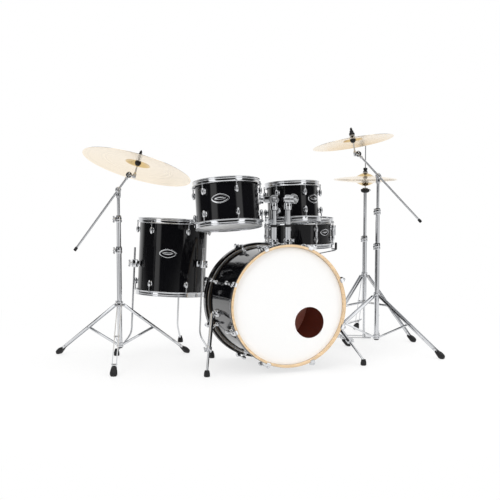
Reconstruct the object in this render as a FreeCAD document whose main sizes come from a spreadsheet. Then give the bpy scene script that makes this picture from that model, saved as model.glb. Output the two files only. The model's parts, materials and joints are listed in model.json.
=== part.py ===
import FreeCAD, Part
import math
import os
import re
import Sketcher
from FreeCAD import Placement, Rotation, Vector

# An acoustic drum kit: bass drum, two rack toms, floor tom, snare on its stand, hi-hat and two
# boom cymbal stands. X runs to the right as an onlooker faces the front of the bass drum, Y runs
# from the front towards the drummer and Z is up. The origin is on the floor under the middle.
# Every size is in millimetres and every angle in degrees.

SIZES = (
    ("kit_shift_x", 4.2, "from the origin to the bass drum's centre line"),
    ("kit_shift_y", -513.3, "from the origin to the front of the bass drum"),
    # bass drum
    ("kick_radius", 276, "shell's outer radius"), ("kick_depth", 406, "shell's length"),
    ("kick_wall", 7.5, "shell's thickness"), ("kick_tilt", 3, "how far the front is raised"),
    ("kick_hoop_inner", 282, "wooden hoop's inner radius"), ("kick_hoop_outer", 295, "and outer radius"),
    ("kick_hoop_proud", 20, "hoop beyond the shell's edge"), ("kick_hoop_back", 18, "hoop over the shell"),
    ("kick_lugs", 8, "tension rods at each end"), ("port_radius", 75, "hole in the front head"),
    ("port_across", 107, "hole's centre to the right"), ("port_down", 85, "and below the middle"),
    # spurs
    ("spur_foot_x", 405, "foot's distance from the centre line"), ("spur_foot_y", 30, "foot behind the front"),
    ("spur_pivot_x", 290, "pivot's distance from the centre line"),
    ("spur_pivot_y", 275, "pivot behind the front"), ("spur_pivot_z", 258, "pivot's height"),
    ("spur_leg_radius", 10, "outer leg"), ("spur_rod_radius", 6, "sliding rod"),
    # double tom holder
    ("holder_y", 120, "posts behind the front"), ("post_spread", 36, "posts' distance from the centre line"),
    ("post_radius", 12.7, "post"), ("post_inside", 95, "post below its plate"),
    ("post_top", 803, "top of the posts"), ("tilter_height", 822, "arm's pivot"),
    ("tilter_radius", 19, "round head on each post"),
    # drums: radius and depth of each shell, place of its middle, its top's lean towards the drummer
    # and its roll to the right
    ("shell_wall", 6.5, "tom shells' thickness"), ("hoop_gap", 7, "shell to pressed hoop"),
    ("hoop_wall", 2.3, "pressed hoop's thickness"), ("rod_radius", 3, "tension rod"),
    ("mid_tom_radius", 152.4, "12 in tom"), ("mid_tom_depth", 203, ""), ("mid_tom_lugs", 6, ""),
    ("mid_tom_x", -250, ""), ("mid_tom_y", 190, ""), ("mid_tom_z", 798, ""), ("mid_tom_lean", 10.5, ""),
    ("mid_tom_roll", 0, ""),
    ("high_tom_radius", 127, "10 in tom"), ("high_tom_depth", 178, ""), ("high_tom_lugs", 6, ""),
    ("high_tom_x", 130, ""), ("high_tom_y", 290, ""), ("high_tom_z", 797, ""), ("high_tom_lean", 7.5, ""),
    ("high_tom_roll", 0, ""),
    ("floor_tom_radius", 177.8, "14 in floor tom"), ("floor_tom_depth", 376, ""), ("floor_tom_lugs", 6, ""),
    ("floor_tom_x", -378, ""), ("floor_tom_y", 723, ""), ("floor_tom_z", 504, ""), ("floor_tom_lean", 2, ""),
    ("floor_tom_roll", 3.4, ""),
    ("snare_radius", 177.8, "14 in snare drum"), ("snare_depth", 134, ""), ("snare_lugs", 8, ""),
    ("strainer_turn", -15.5, "throw-off's bearing on the snare"),
    ("snare_x", 322, ""), ("snare_y", 676, ""), ("snare_z", 620, ""), ("snare_lean", 0, ""),
    ("snare_roll", 0, ""),
    # floor tom legs
    ("leg_rod_radius", 5, "leg rod"), ("leg_ring", 208, "rods' distance from the tom's axis"),
    ("leg_splay", 81, "foot beyond the bend"), ("leg_knee", 110, "height of the bend"),
    ("leg_top", 560, "height of a leg's top"), ("leg_bracket", 455, "underside of a leg's bracket"),
    # stands
    ("base_tube", 12.7, "base tube's radius"), ("mid_tube", 11.1, "middle tube's radius"),
    ("top_tube", 7.9, "top tube's radius"), ("tube_wall", 1.2, "tube's thickness"),
    ("clamp_radius", 17, "height clamp"), ("clamp_height", 34, ""), ("collar_radius", 20, "leg collar"),
    ("rail_gap", 20, "between a leg's two rails"), ("rail_width", 4, ""), ("rail_depth", 13, ""),
    ("boot_radius", 25, "rubber foot"), ("boot_height", 46, ""),
    ("boom_radius", 5.5, "boom rod"), ("boom_side", 24, "boom beside its pivot block"),
    ("left_x", -702, ""), ("left_y", 557, ""), ("left_turn", 13, "a leg's bearing"), ("left_reach", 375, ""),
    ("left_low", 70, ""), ("left_collar", 290, ""), ("left_clamp_low", 563, ""), ("left_clamp_high", 719, ""),
    ("left_pivot", 864, ""), ("left_rise", 54, "boom's slope"), ("left_bearing", -14, "boom's bearing"),
    ("left_front", 92, "boom before its pivot"), ("left_tail", 373, "boom behind its pivot"),
    ("left_cymbal_radius", 277, "22 in ride"), ("left_lean_x", 0.316, ""), ("left_lean_y", 0.169, ""),
    ("left_ahead", 27, "tilter's rod before its ratchet"), ("left_seat", 86, "cymbal above the ratchet"),
    ("right_x", 645, ""), ("right_y", 370, ""), ("right_turn", 63, ""), ("right_reach", 375, ""),
    ("right_low", 63, ""), ("right_collar", 297, ""), ("right_clamp_low", 559, ""),
    ("right_clamp_high", 743, ""), ("right_pivot", 929, ""), ("right_rise", 47, ""),
    ("right_bearing", 160, ""), ("right_front", 157, ""), ("right_tail", 331, ""),
    ("right_cymbal_radius", 213, "17 in crash"), ("right_lean_x", -0.106, ""), ("right_lean_y", 0.176, ""),
    ("right_ahead", 17, ""), ("right_seat", 92, ""),
    ("cymbal_wall", 1.3, "cymbal's thickness"), ("cymbal_hole", 6.5, "hole's radius"),
    # hi-hat
    ("hat_x", 755, ""), ("hat_y", 748, ""), ("hat_turn", 73, ""), ("hat_reach", 285, ""),
    ("hat_frame", 205, "top of the pedal frame"), ("hat_collar", 363, ""), ("hat_clamp", 569, ""),
    ("hat_seat", 850, "seat of the bottom cymbal"), ("hat_height", 903, "where the cymbals meet"),
    ("hat_radius", 178, "14 in cymbals"), ("hat_gap", 6, "between the edges at rest"),
    ("hat_rod_top", 1150, ""), ("hat_tip", 978, "where the rod steps down"),
    ("hat_rod_radius", 3.2, "pull rod"), ("hat_tip_radius", 3, "its upper end"),
    ("pedal_bearing", 152, ""), ("pedal_length", 275, ""),
    # snare stand
    ("basket_turn", 90, ""), ("basket_reach", 265, ""), ("basket_collar", 255, ""),
    ("basket_clamp", 330, ""), ("basket_pivot", 462, ""),
)
ALIASES = {alias for alias, amount, meaning in SIZES}

doc = FreeCAD.newDocument("drum_kit")
sheet = doc.addObject("Spreadsheet::Sheet", "Sizes")
for row, (alias, amount, meaning) in enumerate(SIZES, start=1):
    sheet.set(f"A{row}", alias)
    sheet.set(f"B{row}", str(amount))
    sheet.set(f"C{row}", meaning)
    sheet.setAlias(f"B{row}", alias)
doc.recompute()


# ---------------------------------------------------------------- helpers
def size(alias):
    """A size's number, read from the sheet."""
    return float(getattr(sheet, alias))


def formula(text):
    """Write each size in a formula the way the document's expressions name it."""
    return re.sub(r"[a-z_]+", lambda word: "Sizes." + word[0] if word[0] in ALIASES else word[0], text)


def worth(text):
    """What a formula of sizes comes to."""
    return float(sheet.evalExpression(formula(str(text))))


def polar(radius, degrees, height=0.0):
    turn = math.radians(degrees)
    return Vector(radius * math.cos(turn), radius * math.sin(turn), height)


def aimed(start, direction, twist=0.0):
    """A placement at start whose own Z runs along direction."""
    turn = Rotation(Vector(0, 0, 1), Vector(direction))
    return Placement(Vector(start), turn * Rotation(Vector(0, 0, 1), twist))


def primitive(kind, name, place, **sizes):
    feature = doc.addObject(kind, name)
    for field, text in sizes.items():
        feature.setExpression(field, formula(str(text)))
    feature.Placement = place or Placement()
    return feature


def cylinder(name, radius, height, place=None):
    return primitive("Part::Cylinder", name, place, Radius=radius, Height=height)


def cone(name, low, high, height, place=None):
    return primitive("Part::Cone", name, place, Radius1=low, Radius2=high, Height=height)


def block(name, length, width, height, place=None):
    """A box centred on its own Z axis, standing on its own XY plane."""
    place = place or Placement()
    corner = Vector(-worth(length) / 2, -worth(width) / 2, 0)
    shifted = place.multiply(Placement(corner, Rotation()))
    return primitive("Part::Box", name, shifted, Length=length, Width=width, Height=height)


def ring(name, inner, outer, height, place=None):
    """A hollow round tube."""
    cut = doc.addObject("Part::Cut", name)
    cut.Base = cylinder(name + "_outside", outer, height)
    cut.Tool = cylinder(name + "_bore", inner, f"{height} + 2", Placement(Vector(0, 0, -1), Rotation()))
    cut.Placement = place or Placement()
    return cut


def rod(name, radius, start, end):
    """A round rod from one point to another."""
    run = Vector(end) - Vector(start)
    return cylinder(name, radius, round(run.Length, 3), aimed(start, run))


def bar(name, across, deep, start, end):
    """A flat bar between two points of one vertical plane: across it and deep in it."""
    run = Vector(end) - Vector(start)
    level = Vector(run.x, run.y, 0)
    side = Vector(0, 0, 1).cross(level) if level.Length > 1e-6 else Vector(0, 1, 0)
    side.normalize()
    turn = Rotation(side, side.cross(run), run, "XZY")
    return block(name, across, deep, round(run.Length, 3), Placement(Vector(start), turn))


def seated(name, blank, radius, depth, place):
    """A casting cut to the round of the shell that it stands on."""
    cut = doc.addObject("Part::Cut", name)
    cut.Base = blank
    cut.Tool = cylinder(name + "_seat", radius, depth, place)
    return cut


def bunch(name, pieces):
    """Several solids handled as one."""
    group = doc.addObject("Part::Compound", name)
    group.Links = pieces
    return group


def joined(name, pieces):
    """Several overlapping solids made one."""
    fused = doc.addObject("Part::MultiFuse", name)
    fused.Shapes = pieces
    return fused


def turned(name, profile, place=None):
    """A body turned about its own Z axis from an outline of (radius, height) formulas."""
    body = doc.addObject("PartDesign::Body", name)
    sketch = body.newObject("Sketcher::SketchObject", name + "_outline")
    plane = [datum for datum in body.Origin.OriginFeatures if datum.Role == "XZ_Plane"][0]
    sketch.AttachmentSupport = (plane, [""])
    sketch.MapMode = "FlatFace"
    corners = [Vector(worth(radius), worth(height), 0) for radius, height in profile]
    count = len(corners)
    for index in range(count):
        sketch.addGeometry(Part.LineSegment(corners[index], corners[(index + 1) % count]), False)
    for index in range(count):
        sketch.addConstraint(Sketcher.Constraint("Coincident", index, 2, (index + 1) % count, 1))
    for index, (radius, height) in enumerate(profile):
        corner = corners[index]
        for kind, text, amount, axis in (("DistanceX", radius, corner.x, -2),
                                         ("DistanceY", height, corner.y, -1)):
            if abs(amount) < 1e-9:
                sketch.addConstraint(Sketcher.Constraint("PointOnObject", index, 1, axis))
                continue
            number = sketch.addConstraint(Sketcher.Constraint(kind, -1, 1, index, 1, amount))
            sketch.setExpression(f"Constraints[{number}]", formula(str(text)))
    feature = body.newObject("PartDesign::Revolution", name + "_turned")
    feature.Profile = sketch
    feature.ReferenceAxis = (sketch, ["V_Axis"])
    feature.Angle = 360
    body.Tip = feature
    body.Placement = place or Placement()
    return body


def node(name, pieces, place=None):
    """One named sub-part made of one or more separate solids."""
    if len(pieces) == 1 and place is None:
        pieces[0].Label = name
        subparts.append(pieces[0])
        return pieces[0]
    group = doc.addObject("Part::Compound", name)
    group.Label = name
    group.Links = pieces
    group.Placement = place or Placement()
    subparts.append(group)
    return group


def on_floor(prefix, height=0.0):
    """The point of the floor plan that a sub-assembly's sizes give."""
    return Vector(size(prefix + "_x") + size("kit_shift_x"), size(prefix + "_y") + size("kit_shift_y"), height)


def flipped(height):
    """Upside down, with its own origin at this height."""
    return Placement(Vector(0, 0, height), Rotation(Vector(1, 0, 0), 180))


subparts = []


# ---------------------------------------------------------------- drums
def drum_place(prefix):
    """The middle of the drum's bottom edge; the drum leans its top towards the drummer and rolls it."""
    roll = Rotation(Vector(0, 1, 0), size(prefix + "_roll"))
    lean = roll * Rotation(Vector(1, 0, 0), -size(prefix + "_lean"))
    middle = on_floor(prefix, size(prefix + "_z"))
    return Placement(middle - lean.multVec(Vector(0, 0, size(prefix + "_depth") / 2)), lean)


def shell_profile(radius, depth, wall):
    """A drum shell whose edges are bevelled to a bearing edge."""
    edge = 4
    return ((f"{radius} - {wall}", edge), (f"{radius} - {wall} / 2", 0), (radius, edge),
            (radius, f"{depth} - {edge}"), (f"{radius} - {wall} / 2", depth),
            (f"{radius} - {wall}", f"{depth} - {edge}"))


def head_profile(radius):
    """A drum head: the film and the collar that hangs outside the shell."""
    return ((0, 0), (f"{radius} + 0.6", 0), (f"{radius} + 0.6", -8), (f"{radius} + 5", -8),
            (f"{radius} + 5", 1), (0, 1))


def pressed_hoop_profile(radius):
    """A triple-flanged steel hoop with an ear flange below and a rolled lip above."""
    inner = f"{radius} + hoop_gap"
    outer = f"{radius} + hoop_gap + hoop_wall"
    return ((inner, -14), (f"{radius} + 18", -14), (f"{radius} + 18", -11.5), (outer, -11.5),
            (outer, 9), (f"{outer} + 2.5", 10.5), (f"{outer} + 2.5", 13), (inner, 13))


def hoops_and_heads(prefix):
    """The two pressed hoops and the two heads of a drum."""
    radius = prefix + "_radius"
    place = drum_place(prefix)
    for kind, profile in (("hoop", pressed_hoop_profile(radius)), ("head", head_profile(radius))):
        top = turned(f"{prefix}_top_{kind}", profile, Placement(Vector(0, 0, size(prefix + "_depth")), Rotation()))
        bottom = turned(f"{prefix}_bottom_{kind}", profile, flipped(0))
        node(f"{prefix}_{kind}s", [top, bottom], place)


def lug_ring(prefix, first, inset, length):
    """Lugs and tension rods round a drum: one lug at each rod, at both ends."""
    radius = size(prefix + "_radius")
    depth = size(prefix + "_depth")
    count = int(size(prefix + "_lugs"))
    blanks = []
    rods = []
    for index in range(count):
        bearing = first + 360 * index / count
        turn = Rotation(Vector(0, 0, 1), bearing)
        for end, middle, flange in (("top", depth - inset, depth - 14), ("bottom", inset, 14)):
            name = f"{prefix}_{end}_{index}"
            low = middle - length / 2
            base = Placement(polar(radius + 1, bearing, low + 4), turn)
            foot = block(name + "_foot", 12, 18, length - 8, base)
            barrel = cylinder(name + "_barrel", 7, length, Placement(polar(radius + 12, bearing, low), Rotation()))
            lug = doc.addObject("Part::Fuse", name + "_lug")
            lug.Base = foot
            lug.Tool = barrel
            blanks.append(lug)
            lug_end = low + length if end == "top" else low
            span = sorted((lug_end, flange))
            rods.append(rod(name + "_rod", "rod_radius", polar(radius + 13, bearing, span[0]),
                            polar(radius + 13, bearing, span[1])))
            head = depth - 11.5 if end == "top" else 3.5
            rods.append(cylinder(name + "_key", 4.5, 8, Placement(polar(radius + 13.8, bearing, head), Rotation())))
    castings = seated(prefix + "_lug_castings", bunch(prefix + "_lug_blanks", blanks),
                      prefix + "_radius", prefix + "_depth", Placement())
    node(prefix + "_lugs", [castings] + rods, drum_place(prefix))


def pressed_drum(prefix, first, inset, length):
    """A tom or snare: shell, hoops, heads, and lugs with their rods."""
    profile = shell_profile(prefix + "_radius", prefix + "_depth", "shell_wall")
    node(prefix + "_shell", [turned(prefix + "_shell_ring", profile)], drum_place(prefix))
    hoops_and_heads(prefix)
    lug_ring(prefix, first, inset, length)


def kick_place():
    """The bass drum's axis is its own Z, from the batter side to the front; its own Y is up."""
    turn = Rotation(Vector(1, 0, 0), 90 - size("kick_tilt"))
    front = size("kick_depth") + size("kick_hoop_proud")
    tilt = math.radians(size("kick_tilt"))
    height = size("kick_hoop_outer") * math.cos(tilt) + size("kick_hoop_proud") * math.sin(tilt)
    return Placement(Vector(size("kit_shift_x"), size("kit_shift_y") + front * math.cos(tilt), height), turn)


def kick_drum():
    place = kick_place()
    depth = size("kick_depth")
    profile = shell_profile("kick_radius", "kick_depth", "kick_wall")
    shell = doc.addObject("Part::Cut", "kick_shell_bored")
    shell.Base = turned("kick_shell_ring", profile, place)
    shell.Tool = bunch("kick_post_holes", post_bores("kick", 1.5))
    node("kick_shell", [shell])
    hoop = (("kick_hoop_inner", "-kick_hoop_proud"), ("kick_hoop_outer - 2", "-kick_hoop_proud"),
            ("kick_hoop_outer", "2 - kick_hoop_proud"), ("kick_hoop_outer", "kick_hoop_back"),
            ("kick_hoop_inner", "kick_hoop_back"))
    node("kick_hoops", [turned("kick_rear_hoop", hoop), turned("kick_front_hoop", hoop, flipped(depth))], place)
    front = doc.addObject("Part::Cut", "kick_front_head")
    front.Base = turned("kick_front_film", head_profile("kick_radius"), Placement(Vector(0, 0, depth), Rotation()))
    port = Placement(Vector(size("port_across"), -size("port_down"), depth - 2), Rotation())
    front.Tool = cylinder("kick_port", "port_radius", 6, port)
    node("kick_heads", [turned("kick_batter_head", head_profile("kick_radius"), flipped(0)), front], place)
    kick_hardware(place, depth)


def kick_hardware(place, depth):
    """Sixteen claws with their rods, and the lugs that the rods screw into."""
    radius = size("kick_radius")
    outer = size("kick_hoop_outer")
    proud = size("kick_hoop_proud")
    count = int(size("kick_lugs"))
    claws = []
    blanks = []
    for index in range(count):
        bearing = 360 * (index + 0.5) / count
        turn = Rotation(Vector(0, 0, 1), bearing)
        for end, edge, inward in (("rear", -proud, 1), ("front", depth + proud, -1)):
            name = f"kick_{end}_{index}"
            low = min(edge, edge + 34 * inward)
            claws.append(block(name + "_claw", 8, 24, 34, Placement(polar(outer + 4.2, bearing, low), turn)))
            lip = min(edge, edge - 4 * inward)
            claws.append(block(name + "_lip", 16, 24, 4, Placement(polar(outer, bearing, lip), turn)))
            start = polar(outer + 12, bearing, edge - 2 * inward)
            end_point = polar(outer + 12, bearing, edge + 82 * inward)
            claws.append(rod(name + "_rod", "rod_radius + 0.5", start, end_point))
            lug_low = min(edge + 82 * inward, edge + 122 * inward)
            foot = block(name + "_foot", outer + 12 - radius, 20, 34,
                         Placement(polar((outer + 12 + radius) / 2 - 2, bearing, lug_low + 3), turn))
            barrel = cylinder(name + "_barrel", 8, 40, Placement(polar(outer + 10, bearing, lug_low), Rotation()))
            lug = doc.addObject("Part::Fuse", name + "_lug")
            lug.Base = foot
            lug.Tool = barrel
            blanks.append(lug)
    node("kick_claws", claws, place)
    castings = seated("kick_lug_castings", bunch("kick_lug_blanks", blanks), "kick_radius", "kick_depth",
                      Placement())
    node("kick_lugs", [castings], place)


def holder_seat():
    """The point on top of the bass drum where the tom holder stands."""
    place = kick_place()
    along = size("kick_depth") + size("kick_hoop_proud") - size("holder_y")
    top = place.multVec(Vector(0, size("kick_radius"), along))
    return Vector(size("kit_shift_x"), size("kit_shift_y") + size("holder_y"), top.z)


def post_bores(name, clearance):
    """Two upright bores for the tom posts, through whatever is cut with them."""
    low = holder_seat() - Vector(0, 0, 60)
    return [cylinder(f"{name}_post_bore_{side + 1}", f"post_radius + {clearance}", 200,
                     Placement(low + Vector(side * size("post_spread"), 0, 0), Rotation()))
            for side in (-1, 1)]


def spurs():
    """Two folding spurs: a bracket on the shell, a tubular leg and a rod that slides in it."""
    brackets = []
    for side, name in ((-1, "left"), (1, "right")):
        shift = Vector(size("kit_shift_x"), size("kit_shift_y"), 0)
        pivot = shift + Vector(side * size("spur_pivot_x"), size("spur_pivot_y"), size("spur_pivot_z"))
        foot = shift + Vector(side * size("spur_foot_x"), size("spur_foot_y"), 0)
        shell_side = pivot + Vector(-side * 22, 0, 3)
        pad = rod(f"spur_pad_blank_{name}", 21, shell_side, pivot + Vector(-side * 2, 0, 3))
        brackets.append(seated(f"spur_pad_{name}", pad, "kick_radius", "kick_depth", kick_place()))
        outward = Vector(side, 0, 0)
        start = pivot + outward * 11
        tip = Vector(foot.x, foot.y, 26)
        axis = (tip - start).normalize()
        end = start + axis * 235
        node(f"spur_{name}", [ring(f"spur_tube_{name}", "spur_rod_radius + 0.3", "spur_leg_radius", 235,
                                   aimed(start, axis)),
                              cylinder(f"spur_eye_{name}", 14, 10, aimed(pivot - outward * 1.5, outward)),
                              ring(f"spur_clamp_{name}", "spur_leg_radius", "spur_leg_radius + 4", 26,
                                   aimed(end - axis * 26, axis)),
                              block(f"spur_wing_{name}", 30, 5, 14,
                                    aimed(end - axis * 13 + outward * 15, outward))])
        node(f"spur_tip_{name}", [rod(f"spur_rod_{name}", "spur_rod_radius", start + axis * 120,
                                      tip - axis * 4),
                                  cone(f"spur_boot_{name}", 15, 11, 30, Placement(Vector(foot.x, foot.y, 0),
                                                                               Rotation()))])
    node("spur_brackets", brackets)


def tom_holder():
    """The plate on the bass drum, its two posts and the two tilting arms that carry the toms."""
    seat = holder_seat()
    blank = doc.addObject("Part::Cut", "holder_plate_bored")
    blank.Base = block("holder_plate_blank", 120, 70, 20, Placement(seat - Vector(0, 0, 9), Rotation()))
    blank.Tool = bunch("holder_bores", post_bores("holder", 0.3))
    pieces = [seated("holder_plate", blank, "kick_radius", "kick_depth", kick_place())]
    for side, name, prefix in ((-1, "left", "mid_tom"), (1, "right", "high_tom")):
        foot = seat + Vector(side * size("post_spread"), 0, 0)
        pieces.append(ring(f"holder_socket_{name}", "post_radius + 0.3", 20.5, 34,
                           Placement(foot + Vector(0, 0, 11), Rotation())))
        post_foot = foot - Vector(0, 0, size("post_inside"))
        top = Vector(foot.x, foot.y, size("post_top"))
        pivot = Vector(foot.x, foot.y, size("tilter_height"))
        post = rod(f"post_tube_{name}", "post_radius", post_foot, top)
        to_tom = on_floor(prefix, pivot.z) - pivot
        to_tom.normalize()
        hinge = Vector(-to_tom.y, to_tom.x, 0)
        neck = rod(f"post_neck_{name}", 9.5, top - Vector(0, 0, 20), pivot)
        fork = cylinder(f"post_fork_{name}", "tilter_radius", 22, aimed(pivot - hinge * 11, hinge))
        node(f"tom_post_{name}", [joined(f"post_body_{name}", [post, neck, fork])])
        reach = (on_floor(prefix, 0) - Vector(pivot.x, pivot.y, 0)).Length - size(prefix + "_radius")
        side_start = pivot + hinge * 11.4
        hub = cylinder(f"arm_hub_{name}", "tilter_radius - 1", 16, aimed(side_start, hinge))
        arm = rod(f"arm_rod_{name}", 6, side_start + hinge * 8 + to_tom * 18,
                  side_start + hinge * 8 + to_tom * (reach - 14))
        pad = cylinder(f"arm_pad_blank_{name}", 22, 24, aimed(side_start + hinge * 8 + to_tom * (reach - 15), to_tom))
        bracket = seated(f"arm_pad_{name}", pad, f"{prefix}_radius", f"{prefix}_depth", drum_place(prefix))
        node(f"tom_arm_{name}", [hub, arm, bracket])
    node("tom_holder_base", pieces)


def floor_tom_legs():
    """Three bent legs that slide in brackets on the floor tom, along the drum's own axis."""
    drum = drum_place("floor_tom")
    axis = drum.Rotation.multVec(Vector(0, 0, 1))
    brackets = []
    for index, bearing in enumerate((-177, -57, 63), start=1):
        beside = drum.multVec(polar(size("leg_ring"), bearing))
        knee, bracket_foot, top = [beside + axis * ((size(height) - beside.z) / axis.z)
                                   for height in ("leg_knee", "leg_bracket", "leg_top")]
        foot = Vector(knee.x, knee.y, 0) + polar(size("leg_splay"), bearing)
        ankle = foot + Vector(0, 0, 30)
        node(f"floor_tom_leg_{index}", [rod(f"leg_upright_{index}", "leg_rod_radius", knee, top),
                                        rod(f"leg_shin_{index}", "leg_rod_radius", ankle, knee),
                                        cone(f"leg_boot_{index}", 15, 9, 36, Placement(foot, Rotation()))])
        turn = drum.Rotation * Rotation(Vector(0, 0, 1), bearing)
        bracket = doc.addObject("Part::Cut", f"leg_bracket_{index}")
        bracket.Base = block(f"leg_bracket_body_{index}", 44, 34, 44, Placement(bracket_foot, turn))
        bracket.Tool = bunch(f"leg_bracket_bores_{index}",
                             [cylinder(f"leg_bore_{index}", "leg_rod_radius + 0.3", 60,
                                       Placement(bracket_foot - axis * 5, drum.Rotation)),
                              cylinder(f"leg_seat_{index}", "floor_tom_radius", "floor_tom_depth", drum)])
        brackets.append(bracket)
        out = turn.multVec(Vector(1, 0, 0))
        brackets.append(block(f"leg_wing_{index}", 26, 5, 12,
                              aimed(bracket_foot + out * 22.2 + axis * 22, out, 90)))
    node("floor_tom_brackets", brackets)


def snare_fittings():
    """The throw-off, its lever, and the wires under the drum."""
    place = drum_place("snare")
    radius = size("snare_radius")
    bearing = size("strainer_turn")
    turn = Rotation(Vector(0, 0, 1), bearing)
    blank = block("strainer_blank", 20, 26, 62, Placement(polar(radius + 8, bearing, 34), turn))
    node("snare_strainer", [seated("strainer_body", blank, "snare_radius", "snare_depth", Placement())], place)
    pivot = polar(radius + 21.6, bearing, 50)
    across = polar(8, bearing + 90)
    lever = joined("lever", [block("lever_blade", 6, 16, 56, Placement(pivot, turn)),
                             rod("lever_pivot", 3, pivot - across, pivot + across)])
    node("snare_lever", [lever], place)
    wires = [block("wire_plate_left", 12, 60, 1.5, Placement(Vector(-118, 0, -4), Rotation())),
             block("wire_plate_right", 12, 60, 1.5, Placement(Vector(118, 0, -4), Rotation()))]
    for index in range(10):
        across = (index - 4.5) * 5.6
        wires.append(rod(f"snare_wire_{index}", 0.8, Vector(-112, across, -3.2), Vector(112, across, -3.2)))
    node("snare_wires", wires, place)


# ---------------------------------------------------------------- stands
def tripod(prefix, foot_height, feet):
    """Legs of two rails, their braces and the two collars, round a stand's own axis."""
    pieces = [ring(f"{prefix}_leg_collar", "base_tube", "collar_radius", 30,
                   Placement(Vector(0, 0, size(prefix + "_collar") - 15), Rotation())),
              ring(f"{prefix}_brace_collar", "base_tube", "base_tube + 5", 24,
                   Placement(Vector(0, 0, foot_height), Rotation()))]
    reach = size(prefix + "_reach")
    collar = size(prefix + "_collar")
    for index in range(3):
        bearing = size(prefix + "_turn") + 120 * index
        side = polar(1, bearing + 90)
        start = polar(size("collar_radius") + 2, bearing, collar - 6)
        end = polar(reach - 10, bearing, 30)
        for edge in (-1, 1):
            shift = side * (edge * size("rail_gap") / 2)
            pieces.append(bar(f"{prefix}_rail_{index}_{edge + 1}", "rail_width", "rail_depth",
                              start + shift, end + shift))
        middle = start + (end - start) * 0.5
        foot = polar(size("base_tube") + 7, bearing, foot_height + 12)
        pieces.append(bar(f"{prefix}_brace_{index}", 9, 6, foot, middle))
        boot = on_floor(prefix if prefix != "basket" else "snare") + polar(reach, bearing)
        feet.append(cone(f"{prefix}_boot_{index}", "boot_radius", "boot_radius - 11", "boot_height",
                         Placement(boot, Rotation())))
    return pieces


def clamp(name, tube, place):
    """A height clamp round the top of a tube, with its wing bolt."""
    out = Vector(-0.8, -0.6, 0)
    middle = place.Base + Vector(0, 0, size("clamp_height") / 2)
    return [ring(name + "_clamp", tube, "clamp_radius", "clamp_height", place),
            rod(name + "_bolt", 4, middle + out * (size("clamp_radius") + 0.2),
                middle + out * (size("clamp_radius") + 14)),
            block(name + "_wing", 30, 5, 14, aimed(middle + out * (size("clamp_radius") + 14.2), out, 90))]


def standing(prefix):
    return Placement(on_floor(prefix), Rotation())


def up(height):
    return Placement(Vector(0, 0, height), Rotation())


def cymbal_profile(radius, bell, rise, bow):
    """A cymbal of even thickness: a raised bell and a bow that falls away to the edge."""
    outline = [("cymbal_hole", rise + bow), (bell * 0.55, rise * 0.86 + bow), (bell * 0.85, rise * 0.45 + bow),
               (bell, rise * 0.12 + bow), (bell * 1.25, bow * 0.97)]
    for step in (0.4, 0.6, 0.8, 1.0):
        outline.append((f"{radius} * {step}", round(bow * (1 - step ** 2), 3)))
    under = [(across, f"{height} - cymbal_wall") for across, height in reversed(outline)]
    return tuple(outline + under)


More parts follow.
